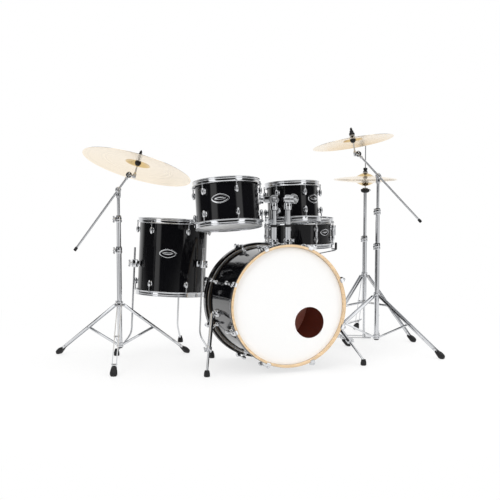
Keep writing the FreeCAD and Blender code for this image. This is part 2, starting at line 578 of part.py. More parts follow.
def boom_stand(prefix, feet):
    """Base, two tubes, boom, cymbal tilter and cymbal of one stand."""
    low, collar = size(prefix + "_low"), size(prefix + "_collar")
    clamp_low, clamp_high, pivot_z = (size(prefix + "_clamp_low"), size(prefix + "_clamp_high"),
                                      size(prefix + "_pivot"))
    inner = "base_tube - tube_wall"
    base = tripod(prefix, low, feet)
    base.append(ring(f"{prefix}_base_tube", inner, "base_tube", clamp_low + 16 - low, up(low)))
    base += clamp(f"{prefix}_low", "base_tube", up(clamp_low - 18))
    node(f"{prefix}_stand_base", base, standing(prefix))
    middle = [ring(f"{prefix}_mid_pipe", "mid_tube - tube_wall", "mid_tube", clamp_high + 16 - clamp_low + 180,
                   up(clamp_low - 180))]
    middle += clamp(f"{prefix}_high", "mid_tube", up(clamp_high - 18))
    node(f"{prefix}_mid_tube", middle, standing(prefix))
    bearing = size(prefix + "_bearing")
    rise = size(prefix + "_rise")
    along = polar(math.cos(math.radians(rise)), bearing, math.sin(math.radians(rise)))
    hinge = Vector(0, 0, 1).cross(polar(1, bearing))
    if hinge.y > 0:
        hinge = -hinge
    pivot = Vector(0, 0, pivot_z)
    node(f"{prefix}_top_tube", [rod(f"{prefix}_top_rod", "top_tube", Vector(0, 0, clamp_high - 110),
                                    pivot - Vector(0, 0, 15)),
                                cylinder(f"{prefix}_pivot_block", 16, 22, aimed(pivot - hinge * 11, hinge))],
         standing(prefix))
    boom_pivot = pivot + hinge * size("boom_side")
    front = boom_pivot + along * size(prefix + "_front")
    tail = boom_pivot - along * size(prefix + "_tail")
    disc = front - hinge * 9
    node(f"{prefix}_boom", [rod(f"{prefix}_boom_rod", "boom_radius", tail, front - along * 12),
                            ring(f"{prefix}_boom_clamp", "boom_radius", 12, 28, aimed(boom_pivot - along * 13, along)),
                            cylinder(f"{prefix}_boom_cap", 10, 5, aimed(pivot + hinge * 11.4, hinge)),
                            cylinder(f"{prefix}_boom_disc", 13, 9, aimed(disc, hinge))], standing(prefix))
    tilt_x, tilt_y = size(prefix + "_lean_x"), size(prefix + "_lean_y")
    lean = Vector(tilt_x, tilt_y, math.sqrt(1 - tilt_x ** 2 - tilt_y ** 2))
    head = front + hinge * 7.5
    ahead = hinge.cross(lean).normalize()
    if ahead.dot(along) < 0:
        ahead = -ahead
    stem = head + ahead * size(prefix + "_ahead")
    seat = stem + lean * size(prefix + "_seat")
    body = joined(f"{prefix}_tilt_body",
                  [cylinder(f"{prefix}_tilt_disc", 11.5, 12, aimed(front + hinge * 0.3, hinge)),
                   rod(f"{prefix}_tilt_ear", 5, head, stem + ahead * 6),
                   rod(f"{prefix}_tilt_rod", 4, stem - lean * 7, seat + lean * 40)])
    tilter = [body,
              ring(f"{prefix}_cup", 4, 16, 15, aimed(seat - lean * 24, lean)),
              ring(f"{prefix}_low_felt", 4, 14, 7, aimed(seat - lean * 9, lean)),
              ring(f"{prefix}_high_felt", 4, 14, 7, aimed(seat + lean * 5.5, lean)),
              ring(f"{prefix}_wing_nut", 4, 15, 22, aimed(seat + lean * 13, lean)),
              block(f"{prefix}_wing_bar", 38, 6, 9, aimed(seat + lean * 40, lean)),
              block(f"{prefix}_tilt_wing", 26, 5, 14, aimed(front + hinge * 12.5, hinge))]
    node(f"{prefix}_tilter", tilter, standing(prefix))
    radius = f"{prefix}_cymbal_radius"
    bell, rise_z, bow = (62, 20, 20) if prefix == "left" else (50, 17, 15)
    plate = turned(f"{prefix}_cymbal_plate", cymbal_profile(radius, bell, rise_z, bow))
    top = rise_z + bow
    seat_on_stand = on_floor(prefix) + seat + lean * 2.4 - lean * top
    node(f"{prefix}_cymbal", [plate], aimed(seat_on_stand, lean))


def hi_hat(feet):
    """Hi-hat stand with its pedal, pull rod and two facing cymbals."""
    frame = size("hat_frame")
    along = polar(1, size("pedal_bearing"))
    side = polar(1, size("pedal_bearing") + 90)
    base = tripod("hat", frame - 12, feet)
    base.append(ring("hat_base_tube", "mid_tube - tube_wall", "base_tube", size("hat_clamp") + 16 - frame - 12,
                     up(frame + 12)))
    base += clamp("hat_low", "base_tube", up(size("hat_clamp") - 18))
    turn = Rotation(Vector(0, 0, 1), size("pedal_bearing"))
    bridge = doc.addObject("Part::Cut", "hat_bridge")
    bridge.Base = block("hat_bridge_body", 26, 84, 11, Placement(Vector(0, 0, frame), turn))
    bridge.Tool = cylinder("hat_bridge_hole", 8, 20, up(frame - 4))
    base.append(bridge)
    for edge, label in ((-1, "near"), (1, "far")):
        base.append(rod(f"hat_frame_rod_{label}", 5, side * (34 * edge) + Vector(0, 0, 12),
                        side * (34 * edge) + Vector(0, 0, frame)))
        base.append(rod(f"hat_floor_rod_{label}", 3, side * (34 * edge) + Vector(0, 0, 6),
                        side * (34 * edge) + along * size("pedal_length") + Vector(0, 0, 6)))
    base.append(block("hat_floor_plate", 40, 84, 9, Placement(-along * 21 + Vector(0, 0, 3), turn)))
    base.append(block("hat_heel_plate", 64, 84, 7, Placement(along * (size("pedal_length") + 33) +
                                                             Vector(0, 0, 3), turn)))
    node("hihat_base", base, standing("hat"))
    seat = size("hat_seat")
    node("hihat_upper_tube", [ring("hat_upper_tube", 5, "mid_tube - tube_wall - 0.3", seat - 20 - 400, up(400)),
                              ring("hat_seat_cup", 5, 25, 20, up(seat - 20)),
                              ring("hat_seat_felt", 5, 15, 6, up(seat))], standing("hat"))
    top_edge = size("hat_height") + size("hat_gap") / 2
    low_edge = size("hat_height") - size("hat_gap") / 2
    rise, bow = 18, 16
    top = turned("hat_top_plate", cymbal_profile("hat_radius", 48, rise, bow))
    bottom = turned("hat_bottom_plate", cymbal_profile("hat_radius", 48, rise, bow))
    bell_top = top_edge + rise + bow
    node("hihat_top_cymbal", [top], Placement(on_floor("hat", top_edge), Rotation()))
    node("hihat_bottom_cymbal", [bottom], Placement(on_floor("hat", low_edge), Rotation(Vector(1, 0, 0), 180)))
    rod_radius = "hat_rod_radius"
    step = Vector(0, 0, size("hat_tip"))
    node("hihat_rod", [rod("hat_pull_rod", rod_radius, Vector(0, 0, 185), step),
                       rod("hat_rod_tip", "hat_tip_radius", step, Vector(0, 0, size("hat_rod_top"))),
                       block("hat_chain", 2.5, 12, 62, Placement(Vector(0, 0, 122), turn)),
                       ring("hat_clutch", rod_radius, 12, 22, up(bell_top + 7)),
                       ring("hat_clutch_felt_high", rod_radius, 14, 6, up(bell_top + 0.3)),
                       ring("hat_clutch_felt_low", rod_radius, 12, 6, up(bell_top - 8.2))], standing("hat"))
    heel = along * size("pedal_length") + Vector(0, 0, 22)
    toe = along * 12 + Vector(0, 0, 108)
    board = bar("hat_board", 62, 6, heel, toe)
    node("hihat_footboard", [board, rod("hat_heel_pin", 4, heel + along * 2.5 - side * 30 - Vector(0, 0, 3),
                                        heel + along * 2.5 + side * 30 - Vector(0, 0, 3))],
         standing("hat"))


def snare_stand(feet):
    """Snare stand: tripod, sliding tube with a tilter, and the three-armed basket."""
    base = tripod("basket", 52, feet)
    clamp_z = size("basket_clamp")
    base.append(ring("basket_base_tube", "base_tube - tube_wall", "base_tube", clamp_z + 16 - 52, up(52)))
    base += clamp("basket_low", "base_tube", up(clamp_z - 18))
    node("snare_stand_base", base, standing("snare"))
    pivot = Vector(0, 0, size("basket_pivot"))
    hinge = Vector(1, 0, 0)
    node("snare_stand_tube", [rod("basket_tube", "mid_tube", Vector(0, 0, 150), pivot - Vector(0, 0, 14)),
                              cylinder("basket_fork", 15, 20, aimed(pivot - hinge * 10, hinge))], standing("snare"))
    hub_low = pivot + Vector(0, 0, 17)
    pieces = [cylinder("basket_hub", 20, 14, Placement(hub_low, Rotation())),
              cylinder("basket_ear_left", 13, 6, aimed(pivot - hinge * 16.4, hinge)),
              cylinder("basket_ear_right", 13, 6, aimed(pivot + hinge * 10.4, hinge)),
              block("basket_link_left", 6, 10, 8, Placement(pivot + Vector(-13.4, 0, 12), Rotation())),
              block("basket_link_right", 6, 10, 8, Placement(pivot + Vector(13.4, 0, 12), Rotation()))]
    rim = size("snare_z") - size("snare_depth") / 2
    for index in range(3):
        bearing = 90 + 120 * index
        start = polar(21, bearing, hub_low.z + 7)
        elbow = polar(203, bearing, rim - 28)
        pieces.append(bar(f"basket_arm_{index}", 12, 6, start, elbow))
        pieces.append(cylinder(f"basket_grip_{index}", 6.5, 40, Placement(elbow + Vector(0, 0, 2), Rotation())))
        pieces.append(block(f"basket_rest_{index}", 24, 12, 6,
                            Placement(polar(190, bearing, rim - 24), Rotation(Vector(0, 0, 1), bearing))))
    node("snare_basket", pieces, standing("snare"))


def build_kit():
    kick_drum()
    spurs()
    tom_holder()
    pressed_drum("mid_tom", 29, 48, 32)
    pressed_drum("high_tom", 35, 46, 32)
    pressed_drum("floor_tom", 38, 52, 36)
    floor_tom_legs()
    pressed_drum("snare", 7, 40, 34)
    snare_fittings()
    feet = []
    snare_stand(feet)
    hi_hat(feet)
    boom_stand("left", feet)
    boom_stand("right", feet)
    node("stand_feet", feet)
    doc.recompute()


def check_and_write():
    """Refuse a broken model, then write each sub-part to its own file."""
    for feature in doc.Objects:
        if "Invalid" in feature.State or "Error" in feature.State:
            raise RuntimeError(f"{feature.Name} did not build: {feature.State}")
    for part in subparts:
        if part.Shape.isNull() or not part.Shape.isValid() or not part.Shape.Solids:
            raise RuntimeError(f"{part.Label} has no valid shape")
    os.makedirs("parts", exist_ok=True)
    for part in subparts:
        part.Shape.exportStep(f"parts/{part.Label}.step")
    print(f"{len(subparts)} sub-parts written")


build_kit()
check_and_write()
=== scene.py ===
import json
import math

import bmesh
import bpy
from bpy.props import FloatProperty, FloatVectorProperty, IntProperty, PointerProperty
from mathutils import Matrix, Vector


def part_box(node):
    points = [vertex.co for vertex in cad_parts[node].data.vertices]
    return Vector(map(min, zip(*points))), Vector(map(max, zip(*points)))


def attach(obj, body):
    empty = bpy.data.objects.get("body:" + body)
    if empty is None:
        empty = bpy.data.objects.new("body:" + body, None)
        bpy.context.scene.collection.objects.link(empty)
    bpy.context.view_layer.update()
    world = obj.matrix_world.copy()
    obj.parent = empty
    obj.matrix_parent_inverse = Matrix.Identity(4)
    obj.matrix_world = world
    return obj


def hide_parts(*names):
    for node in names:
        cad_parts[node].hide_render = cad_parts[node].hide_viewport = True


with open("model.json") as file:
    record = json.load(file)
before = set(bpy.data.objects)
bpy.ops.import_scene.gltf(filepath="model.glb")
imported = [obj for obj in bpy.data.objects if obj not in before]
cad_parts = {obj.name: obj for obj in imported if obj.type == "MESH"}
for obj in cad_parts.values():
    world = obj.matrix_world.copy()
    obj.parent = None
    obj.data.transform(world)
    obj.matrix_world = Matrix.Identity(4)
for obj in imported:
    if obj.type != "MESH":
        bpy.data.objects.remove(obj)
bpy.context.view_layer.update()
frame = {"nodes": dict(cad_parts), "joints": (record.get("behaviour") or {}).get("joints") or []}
JOINTS = {joint["name"]: joint for joint in frame["joints"]}

bl_info = {
    "name": "Drum kit",
    "version": (1, 0, 0),
    "blender": (4, 5, 0),
    "location": "View3D > Sidebar > Drum kit",
    "description": "Finishes an acoustic drum kit: drums, hoops, lugs, cymbals and stands",
    "category": "Add Mesh",
}


# ---------------------------------------------------------------- settings
def length(name, default, description):
    return FloatProperty(name=name, default=default, description=description, unit="LENGTH", min=0.0)


def turn(name, default, description):
    return FloatProperty(name=name, default=math.radians(default), description=description, subtype="ANGLE")


def colour(name, default, description):
    return FloatVectorProperty(name=name, default=default, description=description, subtype="COLOR",
                               size=3, min=0.0, max=1.0)


def direction(name, default, description):
    return FloatVectorProperty(name=name, default=default, description=description, subtype="DIRECTION", size=3)


class KitSizes(bpy.types.PropertyGroup):
    kick_radius: length("Bass drum radius", 0.276, "Outside of the bass drum's shell")
    kick_depth: length("Bass drum depth", 0.406, "Length of the bass drum's shell")
    kick_wall: length("Bass drum wall", 0.0075, "Thickness of the bass drum's shell")
    kick_tilt: turn("Bass drum tilt", 3, "How far the front is raised")
    kick_lugs: IntProperty(name="Bass drum lugs", default=8, description="Tension rods at each end")
    hoop_inner: length("Wood hoop inside", 0.282, "Inner radius of the wooden hoops")
    hoop_outer: length("Wood hoop outside", 0.295, "Outer radius of the wooden hoops")
    hoop_proud: length("Wood hoop overhang", 0.020, "Hoop beyond the shell's edge")
    hoop_back: length("Wood hoop lap", 0.018, "Hoop over the shell")
    mid_radius: length("Left tom radius", 0.1524, "Outside of the shell")
    mid_depth: length("Left tom depth", 0.203, "Length of the shell")
    mid_lean: turn("Left tom lean", 10.5, "Lean towards the drummer")
    high_radius: length("Right tom radius", 0.127, "Outside of the shell")
    high_depth: length("Right tom depth", 0.178, "Length of the shell")
    high_lean: turn("Right tom lean", 7.5, "Lean towards the drummer")
    floor_radius: length("Floor tom radius", 0.1778, "Outside of the shell")
    floor_depth: length("Floor tom depth", 0.376, "Length of the shell")
    floor_lean: turn("Floor tom lean", 2, "Lean towards the drummer")
    floor_roll: turn("Floor tom roll", 3.4, "Lean to the right")
    snare_radius: length("Snare radius", 0.1778, "Outside of the shell")
    snare_depth: length("Snare depth", 0.134, "Length of the shell")
    hoop_gap: length("Hoop gap", 0.007, "From a shell to its pressed hoop")
    hoop_wall: length("Hoop wall", 0.0023, "Thickness of a pressed hoop")
    badge_wide: length("Badge width", 0.090, "Across a shell badge")
    badge_tall: length("Badge height", 0.046, "Height of a shell badge")


class HardwareSizes(bpy.types.PropertyGroup):
    base_tube: length("Base tube", 0.0127, "Radius of a stand's base tube")
    mid_tube: length("Middle tube", 0.0111, "Radius of a stand's middle tube")
    top_tube: length("Top tube", 0.0079, "Radius of a stand's top tube")
    boom: length("Boom", 0.0055, "Radius of a boom rod")
    boom_side: length("Boom offset", 0.024, "Boom beside its pivot block")
    rail_gap: length("Rail gap", 0.020, "Between the two rails of a leg")
    rail_deep: length("Rail depth", 0.013, "Depth of a leg rail")
    rail_thick: length("Rail thickness", 0.004, "Thickness of a leg rail")
    clamp: length("Clamp", 0.017, "Radius of a height clamp")
    clamp_tall: length("Clamp height", 0.034, "Height of a height clamp")
    collar: length("Collar", 0.020, "Radius of a leg collar")
    leg_reach: length("Leg reach", 0.375, "From a boom stand's tube to its feet")
    hat_reach: length("Hi-hat leg reach", 0.285, "From the hi-hat's tube to its feet")
    snare_reach: length("Snare leg reach", 0.265, "From the snare stand's tube to its feet")
    left_lean: direction("Left cymbal axis", (0.316, 0.169, 0.9336), "Upward axis of the left cymbal")
    right_lean: direction("Right cymbal axis", (-0.106, 0.176, 0.9787), "Upward axis of the right cymbal")
    left_cymbal: length("Left cymbal radius", 0.277, "Edge of the left cymbal")
    leg_ring: length("Floor tom leg ring", 0.208, "Leg rods' distance from the drum's axis")
    leg_splay: length("Floor tom leg splay", 0.081, "Foot beyond the bend")
    leg_knee: length("Floor tom leg bend", 0.110, "Height of the bend")
    leg_bracket: length("Floor tom leg bracket", 0.477, "Middle of a leg's bracket")
    leg_top: length("Floor tom leg top", 0.560, "Height of a leg's top")
    post: length("Tom post", 0.0127, "Radius of a tom holder's post")
    pedal_long: length("Pedal length", 0.275, "From the hi-hat's tube to its heel hinge")
    pedal_frame: length("Pedal frame", 0.205, "Top of the hi-hat's pedal frame")
    left_ahead: length("Left tilter offset", 0.027, "Tilter's rod before its ratchet")
    right_ahead: length("Right tilter offset", 0.017, "Tilter's rod before its ratchet")
    right_cymbal: length("Right cymbal radius", 0.213, "Edge of the right cymbal")
    hat_cymbal: length("Hi-hat cymbal radius", 0.178, "Edge of the hi-hat cymbals")


class KitFinishes(bpy.types.PropertyGroup):
    lacquer: colour("Black lacquer", (0.004, 0.004, 0.005), "Shells")
    chrome: colour("Chrome", (0.68, 0.69, 0.71), "Hoops, lugs and stands")
    film: colour("Drum head", (0.90, 0.90, 0.895), "Coated heads")
    maple: colour("Maple", (0.78, 0.56, 0.33), "Inside and front edge of the wooden hoops")
    lining: colour("Shell inside", (0.19, 0.065, 0.04), "Stained wood inside the shells")
    bronze: colour("Bronze", (0.95, 0.84, 0.68), "Cymbals")
    bell: colour("Bronze bell", (0.72, 0.52, 0.24), "Unlathed bell")
    rubber: colour("Rubber", (0.012, 0.012, 0.013), "Feet, sleeves and seats")
    felt: colour("Felt", (0.30, 0.29, 0.27), "Felt washers")


class StageSettings(bpy.types.PropertyGroup):
    eye: FloatVectorProperty(name="Camera place", default=(-1.803, -5.022, 1.01), subtype="TRANSLATION",
                             description="Where the camera stands", unit="LENGTH", size=3)
    heading: turn("Camera heading", 19.6, "Turn from +Y towards +X")
    dip: turn("Camera dip", 4.98, "Tilt below the horizon")
    lens: FloatProperty(name="Lens", default=74.0, description="Focal length in millimetres", min=1.0)
    sky: FloatProperty(name="Sky strength", default=1.5, description="Strength of the pale surroundings", min=0.0)


def kit():
    return bpy.context.scene.kit_sizes


def gear():
    return bpy.context.scene.hardware_sizes


def finish_of():
    return bpy.context.scene.kit_finishes


# ---------------------------------------------------------------- materials
def graph(name, colour_value, roughness, metallic=0.0):
    """A new material, with its node tree and its Principled shader."""
    material = bpy.data.materials.new(name)
    material.use_nodes = True
    tree = material.node_tree
    shader = tree.nodes["Principled BSDF"]
    shader.inputs["Base Color"].default_value = (*colour_value, 1.0)
    shader.inputs["Roughness"].default_value = roughness
    shader.inputs["Metallic"].default_value = metallic
    return material, tree, shader


def noise(tree, scale, detail=3.0, stretch=(1, 1, 1)):
    """Noise over the object's own coordinates."""
    where = tree.nodes.new("ShaderNodeTexCoord")
    mapping = tree.nodes.new("ShaderNodeMapping")
    mapping.inputs["Scale"].default_value = stretch
    grain = tree.nodes.new("ShaderNodeTexNoise")
    grain.inputs["Scale"].default_value = scale
    grain.inputs["Detail"].default_value = detail
    tree.links.new(where.outputs["Object"], mapping.inputs["Vector"])
    tree.links.new(mapping.outputs["Vector"], grain.inputs["Vector"])
    return grain.outputs["Fac"]


def spread(tree, value, low, high):
    """Map a 0 to 1 value onto low to high."""
    ranged = tree.nodes.new("ShaderNodeMapRange")
    ranged.inputs["From Min"].default_value = 0.25
    ranged.inputs["From Max"].default_value = 0.75
    ranged.inputs["To Min"].default_value = low
    ranged.inputs["To Max"].default_value = high
    tree.links.new(value, ranged.inputs["Value"])
    return ranged.outputs["Result"]


def two_tone(tree, value, first, second):
    ramp = tree.nodes.new("ShaderNodeValToRGB")
    ramp.color_ramp.elements[0].position = 0.3
    ramp.color_ramp.elements[1].position = 0.7
    ramp.color_ramp.elements[0].color = (*first, 1.0)
    ramp.color_ramp.elements[1].color = (*second, 1.0)
    tree.links.new(value, ramp.inputs["Fac"])
    return ramp.outputs["Color"]


def relief(tree, shader, value, strength, distance):
    bump = tree.nodes.new("ShaderNodeBump")
    bump.inputs["Strength"].default_value = strength
    bump.inputs["Distance"].default_value = distance
    tree.links.new(value, bump.inputs["Height"])
    tree.links.new(bump.outputs["Normal"], shader.inputs["Normal"])


def scaled(colour_value, factor):
    return tuple(min(1.0, channel * factor) for channel in colour_value)


def grained(name, base, low, high, scale, strength, distance, metallic=0.0, tone=0.85, stretch=(1, 1, 1)):
    """A finish whose colour, roughness and relief all come from one grain."""
    material, tree, shader = graph(name, base, low, metallic)
    grain = noise(tree, scale, 4.0, stretch)
    tree.links.new(spread(tree, grain, low, high), shader.inputs["Roughness"])
    tree.links.new(two_tone(tree, grain, scaled(base, tone), base), shader.inputs["Base Color"])
    relief(tree, shader, noise(tree, scale * 1.7, 2.0, stretch), strength, distance)
    return material, tree, shader


def lacquer_material():
    material, _, shader = grained("black_lacquer", finish_of().lacquer, 0.05, 0.10, 40, 0.02, 0.0005)
    shader.inputs["Specular IOR Level"].default_value = 0.3
    shader.inputs["Coat Weight"].default_value = 0.15
    shader.inputs["Coat Roughness"].default_value = 0.03
    return material


def chrome_material():
    return grained("polished_chrome", finish_of().chrome, 0.03, 0.09, 60, 0.015, 0.0003, 1.0, 0.93)[0]


def steel_material():
    return grained("brushed_steel", (0.55, 0.55, 0.56), 0.22, 0.38, 90, 0.05, 0.0004, 1.0, 0.8)[0]


def film_material():
    material, _, shader = grained("drum_film", finish_of().film, 0.45, 0.62, 500, 0.08, 0.0002, 0.0, 0.975)
    shader.inputs["Specular IOR Level"].default_value = 0.35
    return material


def maple_material():
    material, tree, shader = graph("maple", finish_of().maple, 0.35)
    grain = noise(tree, 14, 6.0, (1.0, 1.0, 6.0))
    base = tuple(finish_of().maple)
    tree.links.new(two_tone(tree, grain, scaled(base, 0.82), scaled(base, 1.08)), shader.inputs["Base Color"])
    tree.links.new(spread(tree, grain, 0.28, 0.42), shader.inputs["Roughness"])
    relief(tree, shader, noise(tree, 120, 4.0, (1.0, 1.0, 8.0)), 0.1, 0.0004)
    shader.inputs["Coat Weight"].default_value = 0.4
    return material


def lining_material():
    return grained("shell_lining", finish_of().lining, 0.35, 0.5, 25, 0.1, 0.0005, 0.0, 0.7, (1, 1, 5))[0]


def rubber_material():
    material, _, shader = grained("black_rubber", finish_of().rubber, 0.5, 0.7, 220, 0.15, 0.0004, 0.0, 0.7)
    shader.inputs["Specular IOR Level"].default_value = 0.4
    return material


def felt_material():
    return grained("grey_felt", finish_of().felt, 0.85, 0.98, 900, 0.5, 0.0008, 0.0, 0.7)[0]


def bronze_material(name, bell):
    """Brilliant bronze, lathed in fine rings outside the bell, darker on the bell."""
    material, tree, shader = graph(name, finish_of().bronze, 0.2, 1.0)
    where = tree.nodes.new("ShaderNodeTexCoord")
    flat = tree.nodes.new("ShaderNodeVectorMath")
    flat.operation = "MULTIPLY"
    flat.inputs[1].default_value = (1, 1, 0)
    out = tree.nodes.new("ShaderNodeVectorMath")
    out.operation = "LENGTH"
    tree.links.new(where.outputs["Object"], flat.inputs[0])
    tree.links.new(flat.outputs["Vector"], out.inputs[0])
    rings = tree.nodes.new("ShaderNodeMath")
    rings.operation = "MULTIPLY"
    rings.inputs[1].default_value = 2600.0
    wave = tree.nodes.new("ShaderNodeMath")
    wave.operation = "SINE"
    tree.links.new(out.outputs["Value"], rings.inputs[0])
    tree.links.new(rings.outputs["Value"], wave.inputs[0])
    broad = tree.nodes.new("ShaderNodeMath")
    broad.operation = "MULTIPLY"
    broad.inputs[1].default_value = 90.0
    tree.links.new(out.outputs["Value"], broad.inputs[0])
    bands = tree.nodes.new("ShaderNodeTexNoise")
    bands.noise_dimensions = "1D"
    bands.inputs["Scale"].default_value = 1.0
    bands.inputs["Detail"].default_value = 3.0
    tree.links.new(broad.outputs["Value"], bands.inputs["W"])
    base = tuple(finish_of().bronze)
    lathed = two_tone(tree, bands.outputs["Fac"], scaled(base, 0.93), scaled(base, 1.04))
    inside = tree.nodes.new("ShaderNodeMapRange")
    inside.inputs["From Min"].default_value = bell * 0.98
    inside.inputs["From Max"].default_value = bell * 1.06
    tree.links.new(out.outputs["Value"], inside.inputs["Value"])
    mix = tree.nodes.new("ShaderNodeMix")
    mix.data_type = "RGBA"
    mix.inputs["A"].default_value = (*finish_of().bell, 1.0)
    tree.links.new(inside.outputs["Result"], mix.inputs["Factor"])
    tree.links.new(lathed, mix.inputs["B"])
    tree.links.new(mix.outputs["Result"], shader.inputs["Base Color"])
    tree.links.new(spread(tree, bands.outputs["Fac"], 0.16, 0.28), shader.inputs["Roughness"])
    relief(tree, shader, wave.outputs["Value"], 0.12, 0.0002)
    return material


MATERIALS = {}
MAKERS = {"lacquer": lacquer_material, "chrome": chrome_material, "steel": steel_material,
          "film": film_material, "maple": maple_material, "lining": lining_material,
          "rubber": rubber_material, "felt": felt_material}


def finish(name):
    """A finish by its plain name, made once."""
    if name not in MATERIALS:
        MATERIALS[name] = MAKERS[name]()
    return MATERIALS[name]


# ---------------------------------------------------------------- mesh tools
def new_mesh():
    return bmesh.new()


def shifted(x, y, z):
    return Matrix.Translation((x, y, z))


def aimed(place, axis, twist=0.0):
    """A frame at place whose own Z runs along axis."""
    turned = Vector((0, 0, 1)).rotation_difference(Vector(axis)).to_matrix().to_4x4()
    return Matrix.Translation(Vector(place)) @ turned @ Matrix.Rotation(twist, 4, "Z")


def framed(place, across, along):
    """A frame with its own X along across and its own Z along along."""
    z = Vector(along).normalized()
    x = (Vector(across) - z * Vector(across).dot(z)).normalized()
    y = z.cross(x)
    return Matrix.Translation(Vector(place)) @ Matrix((x, y, z)).transposed().to_4x4()


def rounded(points, radius, closed=True, steps=4):
    """Round the corners of an outline with small arcs."""
    result = []
    count = len(points)
    for index, corner in enumerate(points):
        here = Vector(corner[:2])
        if not closed and index in (0, count - 1):
            result.append(tuple(here))
            continue
        before = Vector(points[index - 1][:2]) - here
        after = Vector(points[(index + 1) % count][:2]) - here
        cut = min(radius, before.length * 0.45, after.length * 0.45)
        start = here + before.normalized() * cut
        end = here + after.normalized() * cut
        for step in range(steps + 1):
            t = step / steps
            result.append(tuple(start * (1 - t) ** 2 + here * (2 * t * (1 - t)) + end * t ** 2))
    return result


def lathe(bm, profile, place, closed=False, segments=64, paint=0):
    """Turn an outline of (radius, height) about the frame's own Z; paint is a slot, or a rule for each band."""
    rings = []
    for radius, height in profile:
        if radius < 1e-6:
            rings.append([bm.verts.new(place @ Vector((0, 0, height)))])
            continue
        ring = []
        for step in range(segments):
            angle = math.tau * step / segments
            spot = Vector((radius * math.cos(angle), radius * math.sin(angle), height))
            ring.append(bm.verts.new(place @ spot))
        rings.append(ring)
    pairs = list(zip(rings, rings[1:]))
    if closed:
        pairs.append((rings[-1], rings[0]))
    for number, (low, high) in enumerate(pairs):
        if len(low) == 1 and len(high) == 1:
            continue
        for step in range(segments):
            after = (step + 1) % segments
            corners = [low[step % len(low)], low[after % len(low)],
                       high[after % len(high)], high[step % len(high)]]
            corners = [v for spot, v in enumerate(corners) if v not in corners[:spot]]
            face = bm.faces.new(corners)
            face.material_index = paint(number) if callable(paint) else paint


def joined(bm, low, high, paint=0):
    """Close the band between two rings of the same length."""
    count = len(low)
    for step in range(count):
        after = (step + 1) % count
        bm.faces.new((low[step], low[after], high[after], high[step])).material_index = paint


def capped(bm, rings, paint=0):
    """Close a stack of rings into a solid."""
    for low, high in zip(rings, rings[1:]):
        joined(bm, low, high, paint)
    bm.faces.new(list(reversed(rings[0]))).material_index = paint
    bm.faces.new(rings[-1]).material_index = paint


def solid_lathe(bm, profile, place, segments=32, paint=0):
    """A turned solid: the outline runs between two points on the axis."""
    ends = [(0.0, profile[0][1])] + list(profile) + [(0.0, profile[-1][1])]
    lathe(bm, ends, place, False, segments, paint)


def tube(bm, points, radius, sides=20, paint=0):
    """A round rod swept along points, closed at both ends."""
    path = [Vector(point) for point in points]
    rings = []
    normal = None
    for index, point in enumerate(path):
        ahead = path[min(index + 1, len(path) - 1)] - path[max(index - 1, 0)]
        ahead.normalize()
        if normal is None:
            normal = ahead.orthogonal().normalized()
        normal = (normal - ahead * normal.dot(ahead)).normalized()
        side = ahead.cross(normal)
        rings.append([bm.verts.new(point + (normal * math.cos(math.tau * step / sides) +
                                            side * math.sin(math.tau * step / sides)) * radius)
                      for step in range(sides)])
    capped(bm, rings, paint)


def bent(points, radius, steps=8):
    """A path of straight runs joined by smooth bends."""
    path = [Vector(points[0])]
    for before, here, after in zip(points, points[1:], points[2:]):
        before, here, after = Vector(before), Vector(here), Vector(after)
        cut = min(radius, (before - here).length * 0.45, (after - here).length * 0.45)
        start = here + (before - here).normalized() * cut
        end = here + (after - here).normalized() * cut
        path += [start * (1 - t) ** 2 + here * (2 * t * (1 - t)) + end * t ** 2
                 for t in (step / steps for step in range(steps + 1))]
    path.append(Vector(points[-1]))
    return path


def slab(bm, size, place, bevel=0.001, paint=0):
    """A box with eased edges, centred on the frame's origin."""
    made = bmesh.ops.create_cube(bm, size=1.0, matrix=place @ Matrix.Diagonal((*size, 1.0)))
    edges = {edge for vert in made["verts"] for edge in vert.link_edges}
    eased = bmesh.ops.bevel(bm, geom=list(edges), offset=min(bevel, min(size) * 0.45), segments=2,
                            profile=0.6, affect="EDGES")
    for face in eased["faces"]:
        face.material_index = paint
    for vert in made["verts"]:
        if vert.is_valid:
            for face in vert.link_faces:
                face.material_index = paint


def plate(bm, outline, thickness, place, ease=0.0006, paint=0):
    """A flat plate cut to an outline in the frame's XY plane, its rims eased."""
    levels = ((0.0, ease), (ease, 0.0), (thickness - ease, 0.0), (thickness, ease))
    middle = Vector((sum(p[0] for p in outline) / len(outline), sum(p[1] for p in outline) / len(outline), 0))
    rings = []
    for height, inset in levels:
        ring = []
        for x, y in outline:
            out = Vector((x, y, 0)) - middle
            pulled = middle + out * (1 - inset / max(out.length, 1e-6))
            ring.append(bm.verts.new(place @ Vector((pulled.x, pulled.y, height))))
        rings.append(ring)
    capped(bm, rings, paint)


def wing(bm, place, width=0.036, paint=0):
    """A wing nut seen end on: a round hub and two flat wings, standing on the frame's XY plane."""
    solid_lathe(bm, rounded([(0.0065, 0.0), (0.0065, 0.008), (0.004, 0.013)], 0.001, False), place, 20, paint)
    half = width / 2
    outline = rounded([(-0.003, -0.0028), (-half * 0.7, -0.0045), (-half, -0.003), (-half, 0.006),
                       (-half * 0.75, 0.0075), (0, 0.002), (half * 0.75, 0.0075), (half, 0.006),
                       (half, -0.003), (half * 0.7, -0.0045), (0.003, -0.0028)], 0.003)
    upright = place @ Matrix.Translation((0, 0.0016, 0.007)) @ Matrix.Rotation(math.pi / 2, 4, "X")
    plate(bm, outline, 0.0032, upright, 0.0005, paint)


